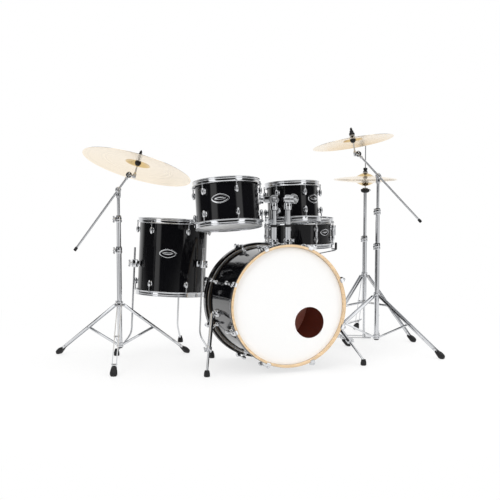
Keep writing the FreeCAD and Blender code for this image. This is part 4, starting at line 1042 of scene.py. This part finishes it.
class KIT_OT_hi_hat(bpy.types.Operator):
    """Hi-hat stand, pedal, rod and clutch"""
    bl_idname = "kit.hi_hat"
    bl_label = "Hi-hat stand"

    def execute(self, context):
        self.base()
        self.upper()
        self.rod()
        self.footboard()
        return {"FINISHED"}

    def base(self):
        parts = gear()
        centre = hat_centre()
        along = pedal_way()
        side = Vector((0, 0, 1)).cross(along)
        frame_top = parts.pedal_frame
        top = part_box("hihat_base")[1].z
        bm = new_mesh()
        stand_legs(bm, centre, 73, parts.hat_reach, 0.363, frame_top - 0.012)
        pipe(bm, centre, parts.base_tube, frame_top + 0.010, top - 0.002)
        height_clamp(bm, centre, parts.base_tube, top - 0.034)
        bridge = rounded([(-0.042, -0.010), (-0.014, -0.013), (0.014, -0.013), (0.042, -0.010), (0.042, 0.010),
                          (0.014, 0.013), (-0.014, 0.013), (-0.042, 0.010)], 0.008)
        plate(bm, bridge, 0.011, framed(centre + Vector((0, 0, frame_top)), side, (0, 0, 1)), 0.0015)
        length = parts.pedal_long
        for edge in (-1, 1):
            foot = centre + side * (0.034 * edge)
            tube(bm, [foot + Vector((0, 0, 0.010)), foot + Vector((0, 0, frame_top + 0.002))], 0.005, 20)
            tube(bm, [foot + Vector((0, 0, 0.006)), foot + along * length + Vector((0, 0, 0.006))], 0.003, 14)
            solid_lathe(bm, rounded([(0.0075, 0.0), (0.0075, 0.012), (0.0052, 0.016)], 0.001, False),
                        Matrix.Translation(foot + Vector((0, 0, 0.010))), 24)
        slab(bm, (0.084, 0.040, 0.009), framed(centre - along * 0.021 + Vector((0, 0, 0.0075)), side, (0, 0, 1)),
             0.002)
        heel = framed(centre + along * (length + 0.033) + Vector((0, 0, 0.003)), side, (0, 0, 1))
        outline = rounded([(-0.042, -0.032), (0.042, -0.032), (0.038, 0.030), (0.020, 0.032), (-0.020, 0.032),
                           (-0.038, 0.030)], 0.010)
        plate(bm, outline, 0.007, heel, 0.001)
        for row in range(5):
            slab(bm, (0.050, 0.0028, 0.0016), heel @ shifted(0, -0.020 + row * 0.009, 0.0076), 0.0006, BLACK)
        piece("hat_stand_legs", bm, "kit_base", hardware(), ["hihat_base"])

    def upper(self):
        parts = gear()
        centre = hat_centre()
        low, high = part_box("hihat_upper_tube")
        seat = high.z - 0.006
        place = Matrix.Translation((centre.x, centre.y, 0))
        bm = new_mesh()
        pipe(bm, centre, parts.mid_tube - 0.0015, low.z, seat - 0.018)
        solid_lathe(bm, rounded([(0.0115, seat - 0.022), (0.0215, seat - 0.018), (0.0245, seat - 0.010),
                                 (0.0245, seat - 0.002), (0.0220, seat)], 0.002, False), place, 40, BLACK)
        felt_ring(bm, place @ shifted(0, 0, seat), 0.0150, 0.006)
        wing(bm, framed(centre + Vector((0.0195, 0, seat - 0.008)), (0, 0, 1), (1, 0, 0)), 0.014)
        piece("hat_upper_tube", bm, "hat_upper", hardware(), ["hihat_upper_tube"])

    def rod(self):
        centre = hat_centre()
        low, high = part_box("hihat_rod")
        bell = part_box("hihat_top_cymbal")[1].z
        place = Matrix.Translation((centre.x, centre.y, 0))
        along = pedal_way()
        side = Vector((0, 0, 1)).cross(along)
        bm = new_mesh()
        tube(bm, [centre + Vector((0, 0, 0.186)), centre + Vector((0, 0, bell + 0.034))], 0.0032, 18)
        tube(bm, [centre + Vector((0, 0, bell + 0.033)), centre + Vector((0, 0, high.z))], 0.003, 18)
        felt_ring(bm, place @ shifted(0, 0, bell + 0.0003), 0.0140, 0.006)
        felt_ring(bm, place @ shifted(0, 0, bell - 0.0082), 0.0120, 0.006)
        solid_lathe(bm, rounded([(0.0118, bell + 0.0066), (0.0118, bell + 0.011), (0.0082, bell + 0.0125),
                                 (0.0082, bell + 0.0145), (0.0114, bell + 0.016), (0.0114, bell + 0.028),
                                 (0.0085, bell + 0.029)], 0.0008, False), place, 28, BLACK)
        for index in range(7):
            height = low.z + 0.005 + index * 0.0088
            across = side if index % 2 else along
            link = [centre + across * (0.0032 * math.cos(math.tau * step / 12)) +
                    Vector((0, 0, height + 0.0046 * math.sin(math.tau * step / 12))) for step in range(13)]
            tube(bm, link, 0.0011, 8, STEEL)
        piece("hat_rod_set", bm, "hat_pull", hardware(), ["hihat_rod"])

    def footboard(self):
        hinge = joint_axis("hat_pedal")
        centre = hat_centre()
        along = pedal_way()
        side = Vector((0, 0, 1)).cross(along)
        heel = centre + along * gear().pedal_long + Vector((0, 0, 0.022))
        toe = centre + along * 0.012 + Vector((0, 0, 0.108))
        run = (toe - heel).length
        board = framed((heel + toe) / 2, side, (toe - heel).cross(side))
        if (board.to_3x3() @ Vector((0, 0, 1))).z < 0:
            board = board @ Matrix.Rotation(math.pi, 4, "X")
        half = run / 2
        outline = rounded([(-0.024, -half), (0.024, -half), (0.030, -half * 0.5), (0.030, half * 0.4),
                           (0.022, half), (-0.022, half), (-0.030, half * 0.4), (-0.030, -half * 0.5)], 0.012)
        bm = new_mesh()
        plate(bm, outline, 0.005, board @ shifted(0, 0, -0.0025), 0.001)
        for row in range(9):
            slab(bm, (0.040, 0.0032, 0.0012), board @ shifted(0, -half * 0.72 + row * half * 0.18, 0.0026),
                 0.0005, BLACK)
        pin = heel + along * 0.0025 - Vector((0, 0, 0.003))
        tube(bm, [pin - hinge * 0.030, pin + hinge * 0.030], 0.004, 18, STEEL)
        piece("hat_foot_plate", bm, "hat_footboard", hardware(), ["hihat_footboard"])


# ---------------------------------------------------------------- snare stand
class KIT_OT_snare_stand(bpy.types.Operator):
    """Snare stand with its three-armed basket, and the snare's throw-off"""
    bl_idname = "kit.snare_stand"
    bl_label = "Snare stand"

    def execute(self, context):
        parts = gear()
        pivot = joint_place("snare_tilt")
        centre = Vector((pivot.x, pivot.y, 0))
        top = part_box("snare_stand_base")[1].z
        bm = new_mesh()
        stand_legs(bm, centre, 90, parts.snare_reach, 0.255, 0.052)
        pipe(bm, centre, parts.base_tube, 0.052, top - 0.002)
        height_clamp(bm, centre, parts.base_tube, top - 0.034)
        piece("snare_stand_legs", bm, "kit_base", hardware(), ["snare_stand_base"])
        bm = new_mesh()
        pipe(bm, centre, parts.mid_tube, 0.150, pivot.z - 0.012)
        toothed(bm, aimed(pivot - Vector((0.010, 0, 0)), (1, 0, 0)), 0.0148, 0.020)
        piece("snare_post_tube", bm, "snare_post", hardware(), ["snare_stand_tube"])
        self.basket(pivot)
        self.strainer()
        return {"FINISHED"}

    def basket(self, pivot):
        """The hub and its arms, each turned up in a rubber grip."""
        centre = Vector((pivot.x, pivot.y, 0))
        hub = pivot.z + 0.017
        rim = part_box("snare_shell")[0].z
        bm = new_mesh()
        solid_lathe(bm, rounded([(0.017, hub), (0.0198, hub + 0.003), (0.0198, hub + 0.011),
                                 (0.016, hub + 0.0138)], 0.002, False), Matrix.Translation(centre), 40)
        for side in (-1, 1):
            toothed(bm, aimed(pivot + Vector((side * 0.0134 - 0.003, 0, 0)), (1, 0, 0)), 0.0128, 0.006, 26)
            slab(bm, (0.006, 0.010, 0.012), Matrix.Translation(pivot + Vector((side * 0.0134, 0, 0.013))), 0.0015)
        for index in range(3):
            bearing = 90 + 120 * index
            across = polar(1, bearing + 90)
            start = centre + polar(0.020, bearing, hub + 0.007)
            elbow = centre + polar(0.203, bearing, rim - 0.028)
            run = elbow - start
            slab(bm, (0.011, 0.006, run.length), framed((start + elbow) / 2, across, run), 0.0022)
            tip = elbow + Vector((0, 0, 0.040))
            tube(bm, bent([elbow - run.normalized() * 0.020, elbow, tip - Vector((0, 0, 0.004))], 0.012),
                 0.0045, 18)
            solid_lathe(bm, rounded([(0.0052, 0.0), (0.0064, 0.002), (0.0064, 0.036), (0.004, 0.0395)], 0.002,
                                    False), Matrix.Translation(elbow + Vector((0, 0, 0.002))), 24, BLACK)
            rest = centre + polar(0.190, bearing, rim - 0.021)
            slab(bm, (0.012, 0.022, 0.006), framed(rest, across, (0, 0, 1)), 0.002, BLACK)
        piece("snare_basket_set", bm, "snare_drum", hardware(), ["snare_basket"])

    def strainer(self):
        """The throw-off's casting with its two knobs, and its lever."""
        sizes = kit()
        low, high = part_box("snare_strainer")
        centre = middle_of("snare_shell")
        away = Vector(((low.x + high.x) / 2 - centre.x, (low.y + high.y) / 2 - centre.y, 0)).normalized()
        across = Vector((0, 0, 1)).cross(away)
        height = (low.z + high.z) / 2
        bm = new_mesh()
        body = centre + away * (sizes.snare_radius + 0.0095)
        slab(bm, (0.024, 0.0165, high.z - low.z - 0.002),
             framed(Vector((body.x, body.y, height)), across, (0, 0, 1)), 0.004)
        for share in (0.3, -0.3):
            at = Vector((body.x, body.y, height + share * (high.z - low.z)))
            tube(bm, [at + across * 0.010, at + across * 0.0135], 0.0042, 6, STEEL)
            tube(bm, [at - across * 0.010, at - across * 0.0135], 0.0042, 6, STEEL)
        piece("snare_throw_off", bm, "snare_drum", hardware(), ["snare_strainer"])
        low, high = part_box("snare_lever")
        at = (Vector(low) + Vector(high)) / 2
        outline = rounded([(-0.0055, -0.029), (0.0055, -0.029), (0.0055, 0.006), (0.0078, 0.020), (0.0060, 0.029),
                           (-0.0060, 0.029), (-0.0078, 0.020), (-0.0055, 0.006)], 0.004)
        bm = new_mesh()
        up = Vector((0, 0, 1))
        blade = Matrix.Translation(at) @ Matrix((across, up, across.cross(up))).transposed().to_4x4()
        plate(bm, outline, 0.0045, blade @ shifted(0, 0, -0.0022), 0.001)
        for row in range(4):
            slab(bm, (0.010, 0.0016, 0.0010), blade @ shifted(0, 0.014 + row * 0.003, 0.0024), 0.0004, BLACK)
        piece("snare_lever_blade", bm, "throw_off", hardware(), ["snare_lever"])


# ---------------------------------------------------------------- tom holder
class KIT_OT_tom_holder(bpy.types.Operator):
    """The double tom holder: plate, posts, tilters and arms"""
    bl_idname = "kit.tom_holder"
    bl_label = "Tom holder"

    def execute(self, context):
        low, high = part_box("tom_holder_base")
        top = high.z
        bm = new_mesh()
        middle = Vector(((low.x + high.x) / 2, (low.y + high.y) / 2, 0))
        seat = top - 0.034 - 0.011
        outline = rounded([(-0.058, -0.026), (-0.044, -0.034), (0.044, -0.034), (0.058, -0.026), (0.058, 0.026),
                           (0.044, 0.034), (-0.044, 0.034), (-0.058, 0.026)], 0.012)
        plate(bm, outline, 0.012, Matrix.Translation(middle + Vector((0, 0, seat - 0.001))), 0.0025)
        base = rounded([(-0.056, -0.033), (0.056, -0.033), (0.056, 0.033), (-0.056, 0.033)], 0.014)
        plate(bm, base, 0.012, Matrix.Translation(middle + Vector((0, 0, seat - 0.012))), 0.001)
        for x in (-0.050, 0.050):
            for y in (-0.022, 0.022):
                solid_lathe(bm, rounded([(0.0045, 0.0), (0.0045, 0.002), (0.003, 0.0032)], 0.0006, False),
                            Matrix.Translation(middle + Vector((x, y, seat + 0.0105))), 18, STEEL)
        posts = {}
        for name, joint in (("left", "mid_tom_tilt"), ("right", "high_tom_tilt")):
            pivot = joint_place(joint)
            posts[name] = pivot
            socket = rounded([(0.0131, 0.0), (0.0202, 0.0), (0.0202, 0.006), (0.0186, 0.008), (0.0186, 0.020),
                              (0.0202, 0.022), (0.0196, 0.031), (0.0165, 0.034), (0.0131, 0.034)], 0.0015)
            place = Matrix.Translation((pivot.x, pivot.y, top - 0.034))
            lathe(bm, socket, place, True, 44)
            out = Vector((-1 if name == "left" else 1, -0.35, 0)).normalized()
            wing(bm, framed(Vector((pivot.x, pivot.y, top - 0.015)) + out * 0.0182, (0, 0, 1), out), 0.026)
        piece("holder_plate_set", bm, "kit_base", hardware(), ["tom_holder_base"])
        for name, tom in (("left", "mid_tom"), ("right", "high_tom")):
            self.post(name, tom, posts[name])
            self.arm(name, tom, posts[name])
        return {"FINISHED"}

    def post(self, name, tom, pivot):
        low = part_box(f"tom_post_{name}")[0]
        hinge = joint_axis(f"{tom}_tilt")
        centre = Vector((pivot.x, pivot.y, 0))
        bm = new_mesh()
        post = gear().post
        pipe(bm, centre, post, low.z, pivot.z - 0.020)
        lathe(bm, rounded([(post, 0.0), (0.0162, 0.002), (0.0162, 0.012), (post, 0.014)], 0.0015),
              Matrix.Translation((pivot.x, pivot.y, 0.688)), True, 36, BLACK)
        toothed(bm, aimed(pivot - hinge * 0.013, hinge), 0.0235, 0.024, 44)
        solid_lathe(bm, rounded([(0.0130, 0.0), (0.0130, 0.004), (0.0085, 0.008)], 0.002, False),
                    aimed(pivot - hinge * 0.013, -hinge), 28)
        solid_lathe(bm, rounded([(0.0135, pivot.z - 0.052), (0.0185, pivot.z - 0.048), (0.0190, pivot.z - 0.028),
                                 (0.0150, pivot.z - 0.014)], 0.003, False), Matrix.Translation(centre), 32)
        piece(f"tom_post_{name}_tube", bm, f"tom_post_{name}", hardware(), [f"tom_post_{name}"])

    def arm(self, name, tom, pivot):
        hinge = joint_axis(f"{tom}_tilt")
        centre = middle_of(f"{tom}_shell")
        radius = getattr(kit(), tom.split("_")[0] + "_radius")
        away = Vector((centre.x - pivot.x, centre.y - pivot.y, 0))
        reach = away.length - radius
        away.normalize()
        if abs(hinge.dot(away)) > 0.05:
            raise RuntimeError(f"the arm of {tom} does not point at its drum")
        start = pivot + hinge * 0.0114
        line = start + hinge * 0.008
        bm = new_mesh()
        toothed(bm, aimed(start, hinge), 0.0225, 0.018, 42)
        wing(bm, framed(start + hinge * 0.0178, (0, 0, 1), hinge), 0.042)
        slab(bm, (0.034, 0.020, 0.034), framed(line + away * 0.030, away, (0, 0, 1)), 0.006)
        tube(bm, [line + away * 0.010, line + away * (reach - 0.004)], 0.0060, 24)
        # The bracket's flat face stops a millimetre short of the shell.
        for wide, out, thick in ((0.0250, 0.000, 0.007), (0.0205, -0.007, 0.014)):
            solid_lathe(bm, rounded([(wide, 0.0), (wide, thick - 0.001), (wide - 0.002, thick)], 0.0015, False),
                        aimed(line + away * (reach + out - 0.001), -away), 36)
        lathe(bm, rounded([(0.006, 0.0), (0.0105, 0.002), (0.0105, 0.010), (0.006, 0.012)], 0.002),
              aimed(line + away * (reach - 0.026), away), True, 32)
        piece(f"tom_arm_{name}_set", bm, tom, hardware(), [f"tom_arm_{name}"])


# ---------------------------------------------------------------- legs and spurs
class KIT_OT_legs(bpy.types.Operator):
    """Floor tom legs, bass drum spurs and every rubber foot"""
    bl_idname = "kit.legs"
    bl_label = "Legs, spurs and feet"

    def execute(self, context):
        self.floor_tom_legs()
        self.spurs()
        self.shoes()
        return {"FINISHED"}

    def floor_tom_legs(self):
        drum = drum_frame("floor_tom", kit().floor_lean)
        axis = (drum.to_3x3() @ Vector((0, 0, 1))).normalized()
        parts = gear()
        brackets = new_mesh()
        for index, bearing in enumerate((-177, -57, 63), start=1):
            beside = drum @ polar(parts.leg_ring, bearing)
            knee, middle, top = [beside + axis * ((height - beside.z) / axis.z)
                                 for height in (parts.leg_knee, parts.leg_bracket, parts.leg_top)]
            foot = Vector((knee.x, knee.y, 0)) + polar(parts.leg_splay, bearing)
            bm = new_mesh()
            tube(bm, bent([top, knee, foot + Vector((0, 0, 0.018))], 0.030), 0.0049, 20)
            boot = rounded([(0.0135, 0.0), (0.0150, 0.004), (0.0138, 0.018), (0.0100, 0.030), (0.0085, 0.036)],
                           0.003, False)
            solid_lathe(bm, boot, Matrix.Translation(foot), 32, BLACK)
            for ridge in range(3):
                low = 0.007 + ridge * 0.005
                lathe(bm, [(0.0125, low), (0.0149, low + 0.0015), (0.0125, low + 0.003)],
                      Matrix.Translation(foot), True, 32, BLACK)
            piece(f"floor_tom_leg_rod_{index}", bm, f"leg_{index}", hardware(),
                  [f"floor_tom_leg_{index}"])
            out = drum.to_3x3() @ polar(1, bearing)
            side = drum.to_3x3() @ polar(1, bearing + 90)
            slab(brackets, (0.030, 0.030, 0.042), framed(middle - out * 0.002, out, axis), 0.006)
            slab(brackets, (0.012, 0.044, 0.030), framed(middle - out * 0.022, out, axis), 0.004)
            solid_lathe(brackets, rounded([(0.0095, 0.0), (0.0095, 0.005), (0.006, 0.008)], 0.001, False),
                        framed(middle + out * 0.0125, side, out), 28)
            wing(brackets, framed(middle + out * 0.018, axis, out), 0.036)
        piece("floor_tom_bracket_set", brackets, "kit_base", hardware(), ["floor_tom_brackets"])

    def spurs(self):
        brackets = new_mesh()
        for side, name in ((-1, "left"), (1, "right")):
            pivot = joint_place(f"spur_fold_{name}")
            axis = joint_axis(f"spur_length_{name}")
            outward = Vector((side, 0, 0))
            start = pivot + outward * 0.011
            if axis.z > 0:
                axis = -axis
            bm = new_mesh()
            length = 0.235
            end = start + axis * length
            lathe(bm, rounded([(0.0064, 0.0), (0.010, 0.001), (0.010, length - 0.001), (0.0064, length)], 0.0005),
                  aimed(start, axis), True, 32)
            toothed(bm, aimed(pivot - outward * 0.0013, outward), 0.0138, 0.0098, 30)
            lathe(bm, rounded([(0.010, 0.0), (0.0138, 0.002), (0.0138, 0.024), (0.010, 0.026)], 0.002),
                  aimed(end - axis * 0.026, axis), True, 32)
            wing(bm, framed(end - axis * 0.013 + outward * 0.012, axis, outward), 0.028)
            piece(f"spur_leg_{name}", bm, f"spur_{name}", hardware(), [f"spur_{name}"])
            reach = (pivot.z - 0.026) / -axis.z
            tip = start + axis * reach
            bm = new_mesh()
            tube(bm, [start + axis * 0.120, tip - axis * 0.002], 0.006, 24)
            foot = Vector((tip.x, tip.y, 0))
            solid_lathe(bm, rounded([(0.0120, 0.0), (0.0148, 0.004), (0.0142, 0.016), (0.0108, 0.030)], 0.003,
                                    False), Matrix.Translation(foot), 32, BLACK)
            piece(f"spur_rod_{name}", bm, f"spur_tip_{name}", hardware(), [f"spur_tip_{name}"])
            shell_side = pivot - outward * 0.022 + Vector((0, 0, 0.003))
            solid_lathe(brackets, rounded([(0.0205, 0.003), (0.0205, 0.012), (0.0160, 0.0155), (0.0130, 0.0195)],
                                          0.002, False), aimed(shell_side, outward), 40)
        piece("spur_bracket_set", brackets, "kit_base", hardware(), ["spur_brackets"])

    def shoes(self):
        """The twelve rubber shoes of the four tripods."""
        parts = gear()
        snare = joint_place("snare_tilt")
        bm = new_mesh()
        for centre, turn_degrees, reach in ((stand_centre("left"), STANDS["left"][0], parts.leg_reach),
                                            (stand_centre("right"), STANDS["right"][0], parts.leg_reach),
                                            (hat_centre(), 73, parts.hat_reach),
                                            (Vector((snare.x, snare.y, 0)), 90, parts.snare_reach)):
            for index in range(3):
                bearing = turn_degrees + 120 * index
                rubber_shoe(bm, centre + polar(reach, bearing), bearing)
        piece("stand_shoes", bm, "kit_base", [finish("rubber")], ["stand_feet"])


# ---------------------------------------------------------------- kept sub-parts
class KIT_OT_finishes(bpy.types.Operator):
    """Finishes of the sub-parts that keep their own shape"""
    bl_idname = "kit.finishes"
    bl_label = "Shells, heads and wires"

    def execute(self, context):
        for drum in ("mid_tom", "high_tom", "floor_tom", "snare"):
            self.paint(drum + "_shell", "lacquer")
            self.paint(drum + "_heads", "film")
        self.paint("kick_heads", "film")
        self.paint("snare_wires", "steel")
        return {"FINISHED"}

    def paint(self, node, name):
        mesh = frame["nodes"][node].data
        mesh.materials.clear()
        mesh.materials.append(finish(name))


# ---------------------------------------------------------------- stage
def softbox(name, place, target, wide, tall, power):
    light = bpy.data.lights.new(name, "AREA")
    light.shape = "RECTANGLE"
    light.size = wide
    light.size_y = tall
    light.energy = power
    thing = bpy.data.objects.new(name, light)
    thing.location = place
    thing.rotation_euler = (Vector(target) - Vector(place)).to_track_quat("-Z", "Y").to_euler()
    thing.visible_glossy = False
    bpy.context.scene.collection.objects.link(thing)


def greys(tree, value, stops):
    """A ramp of greys over a value between -1 and 1."""
    ramp = tree.nodes.new("ShaderNodeValToRGB")
    while len(ramp.color_ramp.elements) < len(stops):
        ramp.color_ramp.elements.new(0.5)
    for element, (position, grey) in zip(ramp.color_ramp.elements, stops):
        element.position = (position + 1) / 2
        element.color = (grey, grey, grey, 1.0)
    half = tree.nodes.new("ShaderNodeMapRange")
    half.inputs["From Min"].default_value = -1.0
    tree.links.new(value, half.inputs["Value"])
    tree.links.new(half.outputs["Result"], ramp.inputs["Fac"])
    return ramp.outputs["Color"]


def sky(strength, heading):
    """White to the eye; reflections find a bright backdrop, a bright ceiling and two tall panels."""
    world = bpy.data.worlds.new("studio")
    world.use_nodes = True
    bpy.context.scene.world = world
    tree = world.node_tree
    background = tree.nodes["Background"]
    where = tree.nodes.new("ShaderNodeTexCoord")
    split = tree.nodes.new("ShaderNodeSeparateXYZ")
    tree.links.new(where.outputs["Generated"], split.inputs["Vector"])
    behind = tree.nodes.new("ShaderNodeVectorMath")
    behind.operation = "DOT_PRODUCT"
    behind.inputs[1].default_value = (math.sin(heading), math.cos(heading), 0.0)
    tree.links.new(where.outputs["Generated"], behind.inputs[0])
    walls = greys(tree, behind.outputs["Value"], ((-1.0, 0.01), (-0.80, 0.01), (-0.75, 0.95), (-0.52, 0.95),
                                                  (-0.46, 0.02), (0.35, 0.03), (0.60, 0.60), (1.0, 0.66)))
    ceiling = greys(tree, split.outputs["Z"], ((-1.0, 0.30), (-0.06, 0.35), (-0.01, 0.0), (0.55, 0.0),
                                               (0.75, 0.62), (1.0, 0.60)))
    brighter = tree.nodes.new("ShaderNodeMath")
    brighter.operation = "MAXIMUM"
    tree.links.new(walls, brighter.inputs[0])
    tree.links.new(ceiling, brighter.inputs[1])
    path = tree.nodes.new("ShaderNodeLightPath")
    mix = tree.nodes.new("ShaderNodeMix")
    mix.data_type = "RGBA"
    mix.inputs["B"].default_value = (1.0, 1.0, 1.0, 1.0)
    tree.links.new(path.outputs["Is Camera Ray"], mix.inputs["Factor"])
    tree.links.new(brighter.outputs["Value"], mix.inputs["A"])
    gain = tree.nodes.new("ShaderNodeMapRange")
    gain.inputs["To Min"].default_value = strength
    tree.links.new(path.outputs["Is Camera Ray"], gain.inputs["Value"])
    tree.links.new(mix.outputs["Result"], background.inputs["Color"])
    tree.links.new(gain.outputs["Result"], background.inputs["Strength"])


def floor_material():
    material, tree, shader = graph("pale_floor", (0.9, 0.9, 0.9), 0.5)
    shader.inputs["Specular IOR Level"].default_value = 0.1
    tree.links.new(spread(tree, noise(tree, 30, 3.0), 0.42, 0.55), shader.inputs["Roughness"])
    where = tree.nodes.new("ShaderNodeTexCoord")
    out = tree.nodes.new("ShaderNodeVectorMath")
    out.operation = "LENGTH"
    tree.links.new(where.outputs["Object"], out.inputs[0])
    fade = tree.nodes.new("ShaderNodeMapRange")
    fade.interpolation_type = "SMOOTHSTEP"
    fade.inputs["From Min"].default_value = 0.7
    fade.inputs["From Max"].default_value = 2.2
    fade.inputs["To Min"].default_value = 0.72
    tree.links.new(out.outputs["Value"], fade.inputs["Value"])
    glow = tree.nodes.new("ShaderNodeEmission")
    glow.inputs["Color"].default_value = (1, 1, 1, 1)
    mix = tree.nodes.new("ShaderNodeMixShader")
    tree.links.new(fade.outputs["Result"], mix.inputs["Fac"])
    tree.links.new(shader.outputs["BSDF"], mix.inputs[1])
    tree.links.new(glow.outputs["Emission"], mix.inputs[2])
    tree.links.new(mix.outputs["Shader"], tree.nodes["Material Output"].inputs["Surface"])
    return material


def drum_glow():
    """The warm light that a bass drum's thin heads let into the shell."""
    light = bpy.data.lights.new("inside", "POINT")
    light.energy = 0.35
    light.color = (1.0, 0.36, 0.26)
    light.shadow_soft_size = 0.05
    thing = bpy.data.objects.new("inside", light)
    thing.location = middle_of("kick_shell")
    thing.visible_glossy = False
    thing.visible_camera = False
    bpy.context.scene.collection.objects.link(thing)


class KIT_OT_stage(bpy.types.Operator):
    """Floor, studio light and camera"""
    bl_idname = "kit.stage"
    bl_label = "Stage"

    def execute(self, context):
        settings = context.scene.stage_settings
        bm = new_mesh()
        bmesh.ops.create_circle(bm, cap_ends=True, segments=96, radius=2.6)
        mesh = bpy.data.meshes.new("floor")
        bm.to_mesh(mesh)
        bm.free()
        mesh.materials.append(floor_material())
        floor = bpy.data.objects.new("floor", mesh)
        floor.location = (0, 0, -0.0005)
        context.scene.collection.objects.link(floor)
        target = (0.0, 0.0, 0.55)
        softbox("key", (-3.0, -2.6, 2.6), target, 1.4, 2.6, 42)
        softbox("front", (0.2, -4.6, 2.2), target, 2.0, 2.0, 34)
        softbox("fill", (2.9, -2.2, 1.9), target, 1.2, 2.6, 26)
        softbox("top", (0.2, 0.3, 3.6), target, 3.0, 3.0, 50)
        drum_glow()
        sky(settings.sky, settings.heading)
        camera = bpy.data.cameras.new("camera")
        camera.lens = settings.lens
        camera.sensor_width = 36
        thing = bpy.data.objects.new("camera", camera)
        thing.location = settings.eye
        thing.rotation_euler = (math.pi / 2 - settings.dip, 0, -settings.heading)
        context.scene.collection.objects.link(thing)
        context.scene.camera = thing
        context.scene.view_settings.view_transform = "Standard"
        return {"FINISHED"}


# ---------------------------------------------------------------- add-on
GROUPS = (("kit_sizes", KitSizes), ("hardware_sizes", HardwareSizes), ("kit_finishes", KitFinishes),
          ("stage_settings", StageSettings))
OPERATORS = (KIT_OT_kick_shell, KIT_OT_kick_hoops, KIT_OT_kick_claws, KIT_OT_pressed_drums, KIT_OT_cymbals,
             KIT_OT_boom_stands, KIT_OT_hi_hat, KIT_OT_snare_stand, KIT_OT_tom_holder, KIT_OT_legs,
             KIT_OT_finishes, KIT_OT_stage)


class KIT_PT_panel(bpy.types.Panel):
    bl_idname = "KIT_PT_panel"
    bl_label = "Drum kit"
    bl_space_type = "VIEW_3D"
    bl_region_type = "UI"
    bl_category = "Drum kit"

    def draw(self, context):
        for operator in OPERATORS:
            self.layout.operator(operator.bl_idname)
        for name, group in GROUPS:
            for field in group.__annotations__:
                self.layout.prop(getattr(context.scene, name), field)


def register():
    for name, group in GROUPS:
        bpy.utils.register_class(group)
        setattr(bpy.types.Scene, name, PointerProperty(type=group))
    for operator in (*OPERATORS, KIT_PT_panel):
        bpy.utils.register_class(operator)


def unregister():
    for operator in reversed((*OPERATORS, KIT_PT_panel)):
        bpy.utils.unregister_class(operator)
    for name, group in reversed(GROUPS):
        delattr(bpy.types.Scene, name)
        bpy.utils.unregister_class(group)


def main():
    register()
    for operator in OPERATORS:
        family, name = operator.bl_idname.split(".")
        getattr(getattr(bpy.ops, family), name)()


if __name__ == "__main__":
    main()
